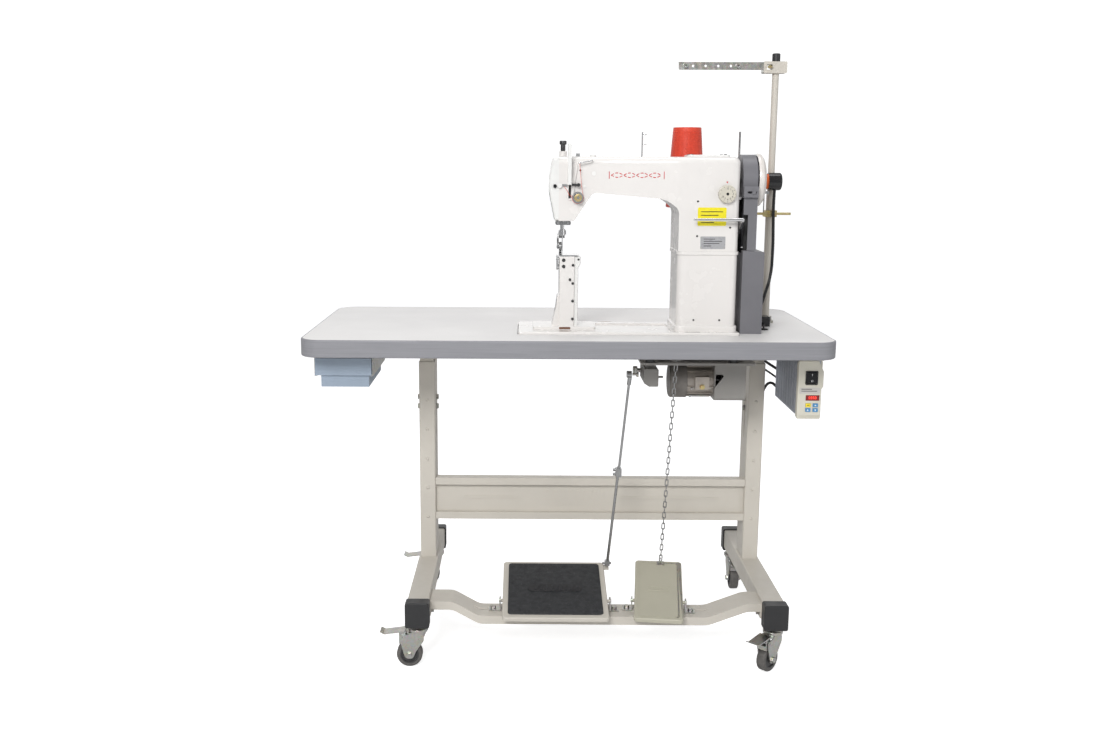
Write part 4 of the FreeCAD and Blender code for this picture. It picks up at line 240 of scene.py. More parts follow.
def edging():
    s = Shader("edging", roughness=0.45)
    along = s.noise(30, 4, place=s.stretched((0.3, 0.3, 12)))
    s.colour(s.ramp(along, (0.25, (0.215, 0.215, 0.230)), (0.75, (0.255, 0.255, 0.272))))
    s.roughness(s.ramp(s.noise(20, 3), (0.3, 0.38), (0.7, 0.52)))
    return s.bump(s.noise(700, 2), 0.2, 0.0002).material


def powder_coat(name, colour):
    """Fine orange peel, faint clouding and a few rubbed spots."""
    s = Shader(name, roughness=0.45)
    clouds = s.ramp(s.noise(7, 5), (0.25, shade(colour, 0.93)), (0.75, shade(colour, 1.04)))
    scuffs = s.ramp(s.noise(160, 8, 0.7), (0.70, 0.0), (0.76, 0.35))
    s.colour(s.mix(scuffs, clouds, shade(colour, 0.72)))
    s.roughness(s.ramp(s.noise(60, 4), (0.3, 0.36), (0.7, 0.54)))
    return s.bump(s.noise(1100, 3), 0.28, 0.0003).material


def enamel(name="enamel", colour=(0.72, 0.695, 0.67)):
    """Stoved gloss enamel over a casting: a slow ripple under a clear shine."""
    s = Shader(name, roughness=0.22, Coat_Weight=0.35, Coat_Roughness=0.08)
    s.colour(s.ramp(s.noise(5, 4), (0.3, shade(colour, 0.975)), (0.7, shade(colour, 1.01))))
    s.roughness(s.ramp(s.noise(22, 3), (0.3, 0.18), (0.7, 0.30)))
    s.bump(s.noise(55, 2), 0.10, 0.0015)
    return s.bump(s.noise(420, 2), 0.07, 0.0004).material


def zinc(name="zinc_plate", tint=(0.47, 0.47, 0.47), warm=(0.45, 0.43, 0.37)):
    s = Shader(name, roughness=0.3, metallic=1.0)
    spangle = s.cells(260, "Color", feature="F1")
    base = s.ramp(s.noise(40, 5), (0.3, tint), (0.7, warm))
    s.colour(s.mix(0.16, base, spangle, "SOFT_LIGHT"))
    s.roughness(s.ramp(s.noise(90, 5, 0.65), (0.25, 0.22), (0.75, 0.46)))
    return s.bump(s.noise(500, 3), 0.12, 0.0002).material


def steel(name="ground_steel", tint=0.62, low=0.16, high=0.34, streak=(900, 900, 30)):
    s = Shader(name, roughness=0.25, metallic=1.0)
    lines = s.noise(1.0, 3, place=s.stretched(streak))
    s.colour(s.ramp(s.noise(18, 4), (0.3, tint * 0.90), (0.7, tint * 1.06)))
    s.roughness(s.ramp(lines, (0.3, low), (0.7, high)))
    return s.bump(lines, 0.06, 0.0001).material


def anodised(name, tint=(0.36, 0.385, 0.44)):
    """Extruded aluminium with drawing lines along its length."""
    s = Shader(name, roughness=0.38, metallic=0.75)
    lines = s.noise(1.0, 4, place=s.stretched((420, 6, 420)))
    s.colour(s.ramp(lines, (0.3, shade(tint, 0.93)), (0.7, shade(tint, 1.05))))
    s.roughness(s.ramp(s.noise(30, 4), (0.3, 0.32), (0.7, 0.5)))
    return s.bump(lines, 0.1, 0.0002).material


def plastic(name, colour, rough=(0.38, 0.52), grain=1300, depth=0.25):
    """Moulded plastic with a spark-eroded grain."""
    s = Shader(name, roughness=rough[0])
    s.colour(s.ramp(s.noise(12, 4), (0.3, shade(colour, 0.94)), (0.7, shade(colour, 1.05))))
    s.roughness(s.ramp(s.noise(35, 4), (0.3, rough[0]), (0.7, rough[1])))
    return s.bump(s.noise(grain, 3), depth, 0.0002).material


def rubber(name, colour=(0.02, 0.02, 0.02)):
    s = Shader(name, roughness=0.62)
    s.colour(s.ramp(s.noise(60, 5), (0.3, shade(colour, 0.8)), (0.7, shade(colour, 1.5))))
    s.roughness(s.ramp(s.noise(80, 4), (0.3, 0.52), (0.7, 0.74)))
    return s.bump(s.noise(700, 4), 0.3, 0.0003).material


def tyre():
    """Grey-brown tread with fine mould lines round it."""
    s = Shader("grey_tyre", roughness=0.6)
    s.colour(s.ramp(s.noise(45, 5), (0.3, (0.075, 0.070, 0.066)), (0.7, (0.125, 0.118, 0.110))))
    s.roughness(s.ramp(s.noise(80, 4), (0.3, 0.5), (0.7, 0.7)))
    return s.bump(s.noise(600, 4), 0.3, 0.0003).material


def mat_rubber():
    """Charcoal rubber mat with pale flecks."""
    s = Shader("mat_rubber", roughness=0.72)
    ground = s.ramp(s.noise(90, 4), (0.3, (0.018, 0.019, 0.021)), (0.7, (0.036, 0.037, 0.040)))
    flecks = s.ramp(s.cells(620), (0.10, 1.0), (0.19, 0.0))
    chosen = s.ramp(s.noise(260, 2), (0.52, 0.0), (0.60, 1.0))
    s.colour(s.mix(s.mix(1.0, flecks, chosen, "MULTIPLY"), ground, (0.30, 0.30, 0.31)))
    s.roughness(s.ramp(s.noise(50, 4), (0.3, 0.62), (0.7, 0.82)))
    return s.bump(s.cells(620), 0.5, 0.0005).material


def cast_metal(name, colour, metallic=0.55):
    """Rough-cast and painted motor metal."""
    s = Shader(name, roughness=0.5, metallic=metallic)
    s.colour(s.ramp(s.noise(30, 6, 0.65), (0.25, shade(colour, 0.75)), (0.75, shade(colour, 1.2))))
    s.roughness(s.ramp(s.noise(60, 4), (0.3, 0.38), (0.7, 0.62)))
    return s.bump(s.noise(350, 4), 0.35, 0.0005).material


def wound_thread():
    """Thread wound in crossing turns round a cone."""
    s = Shader("wound_thread", roughness=0.55, Sheen_Weight=0.25, Sheen_Roughness=0.4)
    fibre = s.noise(1.0, 4, place=s.stretched((260, 260, 2600)))
    s.colour(s.ramp(fibre, (0.30, (0.52, 0.030, 0.012)), (0.70, (0.80, 0.075, 0.028))))
    s.roughness(s.ramp(s.noise(50, 3), (0.3, 0.45), (0.7, 0.66)))
    return s.bump(fibre, 0.35, 0.0004).material


def printed(name, colour, rough=0.4, glow=0.0):
    """Ink or foil on a small label; the dark ink also serves as painted shade inside holes and a slot."""
    s = Shader(name, roughness=rough)
    s.colour(s.ramp(s.noise(240, 3), (0.3, shade(colour, 0.9)), (0.7, shade(colour, 1.06))))
    if glow:
        s.out.inputs["Emission Color"].default_value = (*colour, 1)
        s.out.inputs["Emission Strength"].default_value = glow
    s.roughness(s.ramp(s.noise(120, 3), (0.3, rough * 0.85), (0.7, rough * 1.15)))
    return s.bump(s.noise(900, 2), 0.1, 0.0001).material


CREAM = (0.555, 0.52, 0.46)
FINISHES = {
    "laminate": laminate,
    "chipboard": chipboard,
    "edging": edging,
    "cream": lambda: powder_coat("cream_powder_coat", CREAM),
    "sage": lambda: powder_coat("grey_green_powder_coat", (0.46, 0.44, 0.35)),
    "enamel": enamel,
    "cover": lambda: enamel("cover_enamel", (0.74, 0.735, 0.715)),
    "wheel_enamel": lambda: enamel("wheel_enamel", (0.70, 0.66, 0.62)),
    "zinc": zinc,
    "brass": lambda: zinc("yellow_zinc", (0.60, 0.52, 0.30), (0.58, 0.46, 0.20)),
    "steel": steel,
    "bright_steel": lambda: steel("bright_steel", 0.72, 0.08, 0.2),
    "dark_steel": lambda: steel("blued_steel", 0.10, 0.22, 0.40),
    "grey_steel": lambda: steel("grey_steel", 0.33, 0.20, 0.38),
    "anodised": lambda: anodised("anodised_case"),
    "black": lambda: plastic("black_plastic", (0.018, 0.018, 0.019)),
    "gloss_black": lambda: plastic("gloss_black_plastic", (0.012, 0.012, 0.013), (0.12, 0.24), 500, 0.08),
    "guard": lambda: plastic("guard_plastic", (0.150, 0.148, 0.160), (0.34, 0.48)),
    "drawer": lambda: plastic("drawer_plastic", (0.26, 0.315, 0.385), (0.40, 0.55)),
    "panel": lambda: plastic("panel_plastic", (0.60, 0.575, 0.49), (0.36, 0.50)),
    "label": lambda: plastic("panel_label", (0.52, 0.50, 0.47), (0.30, 0.42), 900, 0.08),
    "dial": lambda: plastic("dial_plastic", (0.55, 0.52, 0.44), (0.34, 0.46)),
    "disc": lambda: plastic("spool_disc_plastic", (0.40, 0.39, 0.36), (0.40, 0.55)),
    "motor_cap": lambda: cast_metal("motor_cap_paint", (0.175, 0.16, 0.145), 0.1),
    "motor_rib": lambda: cast_metal("motor_casting", (0.42, 0.38, 0.34), 0.6),
    "motor_guard": lambda: plastic("motor_guard_plastic", (0.245, 0.235, 0.22), (0.40, 0.55)),
    "rubber": lambda: rubber("black_rubber"),
    "tyre": tyre,
    "hub": lambda: plastic("wheel_hub_plastic", (0.045, 0.044, 0.044), (0.40, 0.55)),
    "sheath": lambda: rubber("cable_sheath", (0.024, 0.021, 0.021)),
    "mat": mat_rubber,
    "mat_pad": lambda: rubber("mat_pad_rubber", (0.018, 0.018, 0.020)),
    "thread": wound_thread,
    "tube": lambda: plastic("cone_tube_plastic", (0.16, 0.27, 0.17), (0.35, 0.5)),
    "orange": lambda: plastic("orange_plastic", (0.80, 0.13, 0.012), (0.30, 0.42), 600, 0.1),
    "white_plastic": lambda: plastic("white_plastic", (0.74, 0.73, 0.71), (0.3, 0.42), 600, 0.1),
    "window": lambda: plastic("brown_window", (0.16, 0.075, 0.045), (0.14, 0.24), 400, 0.08),
    "lens": lambda: plastic("lens_plastic", (0.66, 0.66, 0.62), (0.12, 0.22), 400, 0.08),
    "yellow_key": lambda: printed("yellow_key", (0.74, 0.60, 0.03)),
    "blue_key": lambda: printed("blue_key", (0.06, 0.24, 0.47)),
    "white_ink": lambda: printed("white_ink", (0.80, 0.80, 0.80)),
    "red_ink": lambda: printed("red_ink", (0.52, 0.035, 0.04)),
    # dark ink for printed marks, also used as painted shade inside holes and a slot
    "ink_and_painted_shade": lambda: printed("ink_and_painted_shade", (0.022, 0.022, 0.022)),
    "grey_foil": lambda: printed("grey_foil", (0.36, 0.36, 0.37), 0.3),
    "yellow_foil": lambda: printed("yellow_foil", (0.80, 0.70, 0.02), 0.35),
    "display": lambda: printed("display_glass", (0.20, 0.010, 0.010), 0.12),
    "digits": lambda: printed("display_digits", (0.9, 0.05, 0.03), 0.3, 1.6),
}
made = {}


def finish(key):
    if key not in made:
        made[key] = FINISHES[key]()
    return made[key]


# ---- places ------------------------------------------------------------------
FRONT_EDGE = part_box("table_top")[0].y / MM - 4     # the table's front edge in the row frame, millimetres
PEDAL_PIVOT = (75.0, 137.0)                        # y and z of both pedals' pivots
PEDAL_TILT = math.radians(13)
LIFT_PEDAL_TURN = Matrix.Rotation(math.radians(-6), 4, "Z")
LIFT_PEDAL_MIDDLE = Vector((223, 75, 0))
COLUMN_FACE_Y = 119.0                              # the column's front
WHEEL_AXIS = (190, 1120)                           # y and z of the handwheel's axis
LAMP_AXIS = (296, 1115.5)                          # y and z of the lamp's axis
DIAL_AXIS = (357, 1090)                            # x and z of the stitch dial's axis
TENSION_AXIS = (22, 1080)                          # x and z of the thread tension
CONE_AXIS = (291, 316)                             # x and y of the thread cone
SPOOL_PIN_X = (291, 418)
MOTOR_AXIS = (200, 647)                            # y and z of the motor's axis
RUBBER_BLOCK_X = (190, 380)                        # the motor plate's two rows of blocks


def place(x, y, z):
    """Row-frame metres of a point in millimetres whose Y counts from the table's front edge."""
    return Vector((x, y + FRONT_EDGE, z)) * MM


def bench(centre):
    """The inverse of place()."""
    return Vector((centre.x / MM, centre.y / MM - FRONT_EDGE, centre.z / MM))


def level(point):
    """Where a point of a tilted pedal lies once the pedal is level."""
    dy, dz = point.y - PEDAL_PIVOT[0], point.z - PEDAL_PIVOT[1]
    c, s = math.cos(PEDAL_TILT), math.sin(PEDAL_TILT)
    return Vector((point.x, PEDAL_PIVOT[0] + dy * c + dz * s, PEDAL_PIVOT[1] - dy * s + dz * c))


def tilted(x, y, z):
    """The inverse of level(), in row-frame metres."""
    dy, dz = y - PEDAL_PIVOT[0], z - PEDAL_PIVOT[1]
    c, s = math.cos(PEDAL_TILT), math.sin(PEDAL_TILT)
    return place(x, PEDAL_PIVOT[0] + dy * c - dz * s, PEDAL_PIVOT[1] + dy * s + dz * c)


def tilted_and_turned(x, y, z):
    """A point of the lift pedal, which is also turned a little in plan."""
    point = bench(tilted(x, y, z))
    return place(*(LIFT_PEDAL_TURN @ (point - LIFT_PEDAL_MIDDLE) + LIFT_PEDAL_MIDDLE))


# ---- finishes on the frame's own pieces --------------------------------------
CORNERS = ("front_left", "front_right", "rear_left", "rear_right")


def within(x=None, y=None, z=None):
    """A test for faces whose centre lies in the given ranges."""
    def test(p):
        return all(span is None or span[0] <= value <= span[1] for span, value in zip((x, y, z), p))
    return test


def near_x(places, reach):
    """A test for faces that lie close to one of several x values."""
    return lambda p: min(abs(p.x - x) for x in places) < reach


def finish_node(name, first, *rules):
    """Gives a CAD node its finishes.

    Each rule is (finish, test of a face's centre), and the last match wins.
    """
    mesh = NODES[name].data
    mesh.materials.clear()
    mesh.materials.append(finish(first))
    for key, _ in rules:
        mesh.materials.append(finish(key))
    for face in mesh.polygons:
        centre = bench(face.center)
        face.material_index = 0
        for index, (_, test) in enumerate(rules, 1):
            if test(centre):
                face.material_index = index


def from_axis(centre_y, centre_z, low, high):
    """A test for a band of radii round an axis along X."""
    return lambda p: low <= math.hypot(p.y - centre_y, p.z - centre_z) <= high


def round_spot(x, z, radius):
    """A test for a round patch on a face that looks to the front."""
    return lambda p: math.hypot(p.x - x, p.z - z) < radius


def both(*tests):
    return lambda p: all(test(p) for test in tests)


def finish_plain_nodes():
    whole = {
        "edge_band": "edging", "stand_legs": "cream", "foot_caps": "black",
        "stretcher": "cream", "pedal_beam": "cream", "stand_hardware": "zinc", "drawer": "drawer",
        "motor_pulley": "steel", "speed_lever": "zinc", "control_box": "anodised",
        "power_rocker": "gloss_black", "program_key": "yellow_key", "up_key": "blue_key",
        "shift_key": "blue_key", "down_key": "blue_key", "post_casting": "enamel", "belts": "rubber",
        "main_shaft": "steel", "lower_shaft": "steel", "hook_shaft": "steel",
        "needle_bar": "bright_steel",
        "presser_bar": "grey_steel", "presser_roller": "grey_steel", "feed_wheel": "steel",
        "take_up_lever": "bright_steel", "pressure_knob": "dark_steel", "reverse_lever": "bright_steel",
        "electrical_leads": "sheath", "pitman_rod": "grey_steel", "lift_chain": "grey_steel",
        "belt_guard": "guard",
    }
    for name, key in whole.items():
        finish_node(name, key)
    finish_node("table_top", "laminate",
                ("chipboard", within(x=(55, 150), y=(275, 330), z=(730.5, 769.5))))
    for corner in CORNERS:
        finish_node(f"caster_{corner}_fork", "zinc")
        finish_node(f"caster_{corner}_brake", "zinc")
        low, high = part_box(f"caster_{corner}_wheel")
        middle = bench((low + high) / 2)
        finish_node(f"caster_{corner}_wheel", "hub", ("tyre", lambda p, m=middle: (p - m).length > 25))


def finish_machine():
    column_holes = ((292.5, 1073), (293, 995), (367, 1014.5))
    # painted shade: the walls inside the column's three holes get the dark ink finish, which stands in for
    # the shade in them
    painted_hole_shade = [("ink_and_painted_shade", both(within(y=(119.2, 126)), round_spot(x, z, 3))) for x, z in column_holes]
    finish_node("arm_casting", "enamel", *painted_hole_shade)
    # painted shade: the walls of a shallow slot in the bed's top get the dark ink finish
    finish_node("bed_casting", "enamel",
                ("ink_and_painted_shade", within(x=(271, 307), y=(106, 112), z=(773.5, 775.9))))
    finish_node(
        "head_covers", "cover",
        ("dark_steel", within(x=(275, 365), z=(1177.01, 1180))),
        ("white_plastic", within(x=(52, 64), y=(140, 141.9), z=(1128, 1140))),
        ("grey_steel", within(x=(-29, 8), y=(135.9, 169), z=(1017, 1026.9))),
        ("bright_steel", within(x=(-26, 5), y=(133, 135.95), z=(1018, 1026))),
        ("steel", within(x=(17.9, 27.1), y=(165, 187), z=(1172.1, 1180))),
    )
    finish_node(
        "post_covers", "cover",
        ("bright_steel", within(z=(945.01, 949))),
        ("steel", within(x=(-24, -17.4), z=(905, 949))),
        ("window", within(x=(-18, 10), y=(141, 144.1), z=(776.5, 782.5))),
        ("dark_steel", within(y=(148, 149.99), z=(790, 942))),
        ("dark_steel", within(x=(24, 30), y=(153, 154.99), z=(934, 942))),
    )
    finish_node(
        "thread_guides", "bright_steel",
        ("gloss_black", within(x=(-35, -25), y=(136.9, 142), z=(1100, 1111))),
        ("white_plastic", within(x=(-24.5, -13.7), y=(134.9, 142), z=(1100, 1113))),
        ("dark_steel", within(x=(24.7, 29.3), z=(1138, 1144))),
        ("white_plastic", within(x=(33, 41), z=(1101, 1109))),
        ("dark_steel", within(x=(7.9, 27.1), y=(130, 142), z=(1105.9, 1111.1))),
    )
    finish_node("tension_knob", "gloss_black", ("brass", within(y=(110, 121.9))))
    # painted shade: the hole at the dial's centre gets the dark ink finish
    finish_node("stitch_dial", "dial",
                ("ink_and_painted_shade", both(within(y=(106, 110.5)), round_spot(*DIAL_AXIS, 3.6))))
    rim = both(within(x=(429.9, 432.5)), from_axis(*WHEEL_AXIS, 55, 62))
    finish_node("handwheel", "wheel_enamel", ("bright_steel", rim), ("steel", within(x=(398, 429.9))))


def finish_stand():
    finish_node(
        "under_table_brackets", "motor_guard",
        ("zinc", within(x=(-600, -400))),
        ("rubber", both(within(z=(709.01, 729.9)), near_x(RUBBER_BLOCK_X, 11))),
        ("cream", within(x=(540, 600))),
    )
    finish_node(
        "motor", "motor_guard",
        ("motor_cap", within(x=(240, 288.1))),
        ("motor_rib", within(x=(288.2, 349.9), z=(600, 690))),
    )
    finish_node(
        "control_panel", "panel",
        ("display", within(x=(559.9, 592.1), y=(129, 133.1), z=(612.9, 626.1))),
        ("gloss_black", within(x=(556, 588), y=(128, 129.99), z=(650, 685))),
    )
    finish_node(
        "thread_stand", "cream",
        ("zinc", within(z=(769, 790))),
        ("black", within(x=(488, 512), y=(318, 342), z=(1397.1, 1420))),
        ("zinc", within(x=(260, 470), z=(1370, 1400))),
        ("brass", within(x=(474, 490), y=(300, 315), z=(1378, 1392))),
        ("brass", within(x=(255, 552), z=(1028, 1046.2))),
        ("disc", both(within(z=(1039.9, 1046.1)), near_x(SPOOL_PIN_X, 31))),
        ("grey_steel", both(within(z=(1046.2, 1234)), near_x(SPOOL_PIN_X, 3))),
        ("steel", both(within(x=(478, 491), y=(308, 323)), within(z=(1046, 1093)))),
    )
    finish_node("thread_cone", "tube", ("thread", cone_winding))
    finish_node(
        "lamp", "gloss_black",
        ("orange", both(within(x=(469.9, 484.99)), from_axis(*LAMP_AXIS, 14, 18.1))),
        ("lens", both(within(x=(471.9, 476.1)), from_axis(*LAMP_AXIS, 0, 14.3))),
        ("white_plastic", within(x=(460, 470), y=(248, 249.99), z=(779, 789))),
    )
    finish_node(
        "treadle", "cream",
        ("mat", lambda p: level(p).z > 143.2),
        ("mat_pad", lambda p: level(p).z > 147.9),
    )
    finish_node("lift_pedal", "sage", ("zinc", lambda p: level(p).z > 144.2 or level(p).z < 131.5))


def cone_winding(p):
    """True for the thread's surface and not for the tube's ends or bore."""
    radius = math.hypot(p.x - CONE_AXIS[0], p.y - CONE_AXIS[1])
    return radius > 31.2 - 15 * (p.z - 1046.3) / 193.7


# ---- building new pieces -----------------------------------------------------
class Shape:
    """A closed solid, or several, gathered into one piece. Points are row-frame metres."""

    def __init__(self):
        self.mesh = bmesh.new()

    def prism(self, outline, depth):
        """A flat outline pushed along a vector."""
        low = [self.mesh.verts.new(p) for p in outline]
        high = [self.mesh.verts.new(Vector(p) + Vector(depth)) for p in outline]
        self.mesh.faces.new(low)
        self.mesh.faces.new(list(reversed(high)))
        for i in range(len(low)):
            j = (i + 1) % len(low)
            self.mesh.faces.new((low[i], high[i], high[j], low[j]))

    def rod(self, a, b, radius, sides=20, end_radius=None):
        a, b = Vector(a), Vector(b)
        across = (b - a).normalized().orthogonal().normalized()
        other = (b - a).normalized().cross(across)
        far = radius if end_radius is None else end_radius
        rings = []
        for centre, r in ((a, radius), (b, far)):
            rings.append([self.mesh.verts.new(centre + (across * math.cos(t) + other * math.sin(t)) * r)
                          for t in (math.tau * i / sides for i in range(sides))])
        for i in range(sides):
            j = (i + 1) % sides
            self.mesh.faces.new((rings[0][i], rings[0][j], rings[1][j], rings[1][i]))
        self.mesh.faces.new(list(reversed(rings[0])))
        self.mesh.faces.new(rings[1])

    def torus(self, centre, axis, major, minor, around=24, section=8):
        centre, axis = Vector(centre), Vector(axis).normalized()
        u = axis.orthogonal().normalized()
        v = axis.cross(u)
        rows = []
        for i in range(around):
            out = u * math.cos(math.tau * i / around) + v * math.sin(math.tau * i / around)
            turns = [math.tau * j / section for j in range(section)]
            rows.append([self.mesh.verts.new(centre + out * (major + minor * math.cos(t))
                                             + axis * (minor * math.sin(t))) for t in turns])
        for i in range(around):
            for j in range(section):
                k, m = (i + 1) % around, (j + 1) % section
                self.mesh.faces.new((rows[i][j], rows[k][j], rows[k][m], rows[i][m]))

    def tube(self, points, radius, sides=8):
        """A round wire through the points, closed at both ends."""
        rows = []
        across = (points[1] - points[0]).orthogonal().normalized()
        for i, point in enumerate(points):
            way = (points[min(i + 1, len(points) - 1)] - points[max(i - 1, 0)]).normalized()
            across = (across - way * across.dot(way)).normalized()
            other = way.cross(across)
            turns = [math.tau * j / sides for j in range(sides)]
            rows.append([self.mesh.verts.new(point + (across * math.cos(t) + other * math.sin(t)) * radius)
                         for t in turns])
        for a, b in zip(rows, rows[1:]):
            for j in range(sides):
                k = (j + 1) % sides
                self.mesh.faces.new((a[j], a[k], b[k], b[j]))
        self.mesh.faces.new(list(reversed(rows[0])))
        self.mesh.faces.new(rows[-1])

    def ribbon(self, rows, lift):
        """A thin solid strip: rows are (left, right) pairs on a surface, and lift is a vector off it."""
        lift = Vector(lift)
        rings = [[self.mesh.verts.new(p) for p in (a - lift, b - lift, b + lift, a + lift)]
                 for a, b in rows]
        for one, two in zip(rings, rings[1:]):
            for j in range(4):
                k = (j + 1) % 4
                self.mesh.faces.new((one[j], one[k], two[k], two[j]))
        self.mesh.faces.new(list(reversed(rings[0])))
        self.mesh.faces.new(rings[-1])

    def text(self, words, centre, right, up, height, depth):
        """Letters lying in the plane of right and up."""
        curve = bpy.data.curves.new("letters", "FONT")
        curve.body = words
        curve.align_x, curve.align_y = "CENTER", "CENTER"
        curve.size = height
        curve.extrude = depth
        curve.resolution_u = 3
        holder = bpy.data.objects.new("letters", curve)
        bpy.context.scene.collection.objects.link(holder)
        flat = bpy.data.meshes.new_from_object(holder)
        right, up = Vector(right).normalized(), Vector(up).normalized()
        turn = Matrix((right, up, right.cross(up))).transposed().to_4x4()
        flat.transform(Matrix.Translation(centre) @ turn)
        self.mesh.from_mesh(flat)
        bpy.data.objects.remove(holder)
        bpy.data.curves.remove(curve)
        bpy.data.meshes.remove(flat)

    def done(self, name, key, body, bevel=0.0, smooth=True):
        bmesh.ops.remove_doubles(self.mesh, verts=self.mesh.verts, dist=1e-6)
        bmesh.ops.recalc_face_normals(self.mesh, faces=self.mesh.faces)
        mesh = bpy.data.meshes.new(name)
        self.mesh.to_mesh(mesh)
        self.mesh.free()
        mesh.materials.append(finish(key))
        piece = bpy.data.objects.new(name, mesh)
        bpy.context.scene.collection.objects.link(piece)
        if bevel:
            edge = piece.modifiers.new("edges", "BEVEL")
            edge.width, edge.segments, edge.limit_method = bevel * MM, 2, "ANGLE"
        if smooth:
            mesh.shade_smooth()
            mesh.set_sharp_from_angle(angle=math.radians(35))
        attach(piece, body)
        return piece


def rounded_rectangle(x0, x1, z0, z1, radius, steps=4):
    corners = ((x1 - radius, z1 - radius, 0), (x0 + radius, z1 - radius, 90),
               (x0 + radius, z0 + radius, 180), (x1 - radius, z0 + radius, 270))
    points = []
    for cx, cz, start in corners:
        for i in range(steps + 1):
            t = math.radians(start + 90 * i / steps)
            points.append((cx + radius * math.cos(t), cz + radius * math.sin(t)))
    return points


def plate_on_front(shape, x0, x1, z0, z1, y, thick=0.4, radius=2.0):
    """A thin plate on an upright face that looks to the front."""
    outline = [place(x, y + 0.1, z) for x, z in rounded_rectangle(x0, x1, z0, z1, radius)]
    shape.prism(outline, (0, -(thick + 0.1) * MM, 0))


# ---- plates, marks and small fittings ----------------------------------------
COLUMN_DOTS = (290.7, 349.9)
COLUMN_DOT_Z = 803.0
FRONT = Vector((0, -1, 0))
RIGHT = Vector((1, 0, 0))
UP = Vector((0, 0, 1))


def column_plates():
    plate = Shape()
    plate_on_front(plate, 292.9, 357.6, 1018.3, 1059.5, COLUMN_FACE_Y, 0.4, 3.0)
    plate.done("column_yellow_plate", "yellow_foil", "machine")
    lines = Shape()
    for z, x1 in ((1050, 350), (1042, 340), (1034, 346), (1026, 330)):
        plate_on_front(lines, 300, x1, z - 0.9, z + 0.9, 118.6, 0.12, 0.6)
    lines.done("column_yellow_plate_lines", "ink_and_painted_shade", "machine")
    foil = Shape()
    plate_on_front(foil, 300.7, 357.3, 966.1, 994.3, COLUMN_FACE_Y, 0.5, 1.5)
    foil.done("column_grey_plate", "grey_foil", "machine")
    rows = Shape()
    for z, x0, x1 in ((988.5, 308, 334), (983.5, 308, 350), (978.5, 308, 344), (973.0, 308, 326)):
        plate_on_front(rows, x0, x1, z - 0.7, z + 0.7, 118.5, 0.12, 0.5)
    rows.done("column_grey_plate_lines", "ink_and_painted_shade", "machine")
    rivets = Shape()
    for x in (303.6, 354.4):
        for z in (969, 991.4):
            rivets.rod(place(x, 118.7, z), place(x, 117.9, z), 1.3 * MM, 14)
    rivets.done("column_plate_rivets", "zinc", "machine")
    dots = Shape()
    for x in COLUMN_DOTS:
        dots.rod(place(x, 119.5, COLUMN_DOT_Z), place(x, 118.6, COLUMN_DOT_Z), 2.3 * MM, 18)
    dots.done("column_plugs", "dark_steel", "machine")


def surface(node):
    """A search tree of a CAD node's mesh, in row-frame metres."""
    mesh = NODES[node].data
    return BVHTree.FromPolygons([v.co for v in mesh.vertices], [list(f.vertices) for f in mesh.polygons])


def arm_motif():
    """A row of stitches in a shallow wave, printed on the arm's front."""
    tree = surface("arm_casting")

    def on_arm(x, z):
        hit = tree.ray_cast(place(x, 60, z), Vector((0, 1, 0)))[0]
        return hit if hit else place(x, 142, z)

    stitches = Shape()
    for row, swing in ((0, 1), (1, -1)):
        for i in range(12):
            x0 = 97 + i * 9.4
            strip = []
            for j in range(5):
                x = x0 + 6.4 * j / 4
                z = 1130.5 + swing * 5.0 * math.sin((x - 97) / 112 * math.tau * 2)
                strip.append((on_arm(x, z - 1.0), on_arm(x, z + 1.0)))
            stitches.ribbon(strip, FRONT * 0.22 * MM)
    stitches.done("arm_stitch_motif", "red_ink", "machine")
    marks = Shape()
    for x in (92.0, 214.5):
        strip = [(on_arm(x + dx, 1122), on_arm(x + dx, 1139)) for dx in (0, 1.6)]
        marks.ribbon(strip, FRONT * 0.22 * MM)
    marks.done("arm_motif_ends", "red_ink", "machine")


def dial_marks():
    numbers = Shape()
    ticks = Shape()
    centre = place(DIAL_AXIS[0], 107, DIAL_AXIS[1])
    for i in range(12):
        t = math.radians(90 - 30 * i)
        out = RIGHT * math.cos(t) + UP * math.sin(t)
        side = RIGHT * math.sin(t) - UP * math.cos(t)
        a, b = centre + out * 16.0 * MM, centre + out * 18.2 * MM
        half = side * 0.35 * MM
        ticks.ribbon([(a - half, a + half), (b - half, b + half)], FRONT * 0.15 * MM)
        if i < 9:
            numbers.text(str(i), centre + out * 12.2 * MM, RIGHT, UP, 6.2 * MM, 0.15 * MM)
    numbers.done("dial_numbers", "ink_and_painted_shade", "stitch_dial")
    ticks.done("dial_ticks", "ink_and_painted_shade", "stitch_dial")
    pointer = Shape()
    corners = ((354.6, 1117.6), (359.4, 1117.6), (357, 1113.2))
    pointer.prism([place(x, 119.3, z) for x, z in corners], FRONT * 0.8 * MM)
    pointer.done("dial_pointer", "red_ink", "machine")


KEY_FACE_Y = 128.8
ARROWS = {
    "shift_key": ((-2.2, 1.9), (-2.2, -1.9), (2.2, 0)),
    "up_key": ((-2.4, -1.6), (2.4, -1.6), (0, 2.0)),
    "down_key": ((-2.4, 1.6), (2.4, 1.6), (0, -2.0)),
}


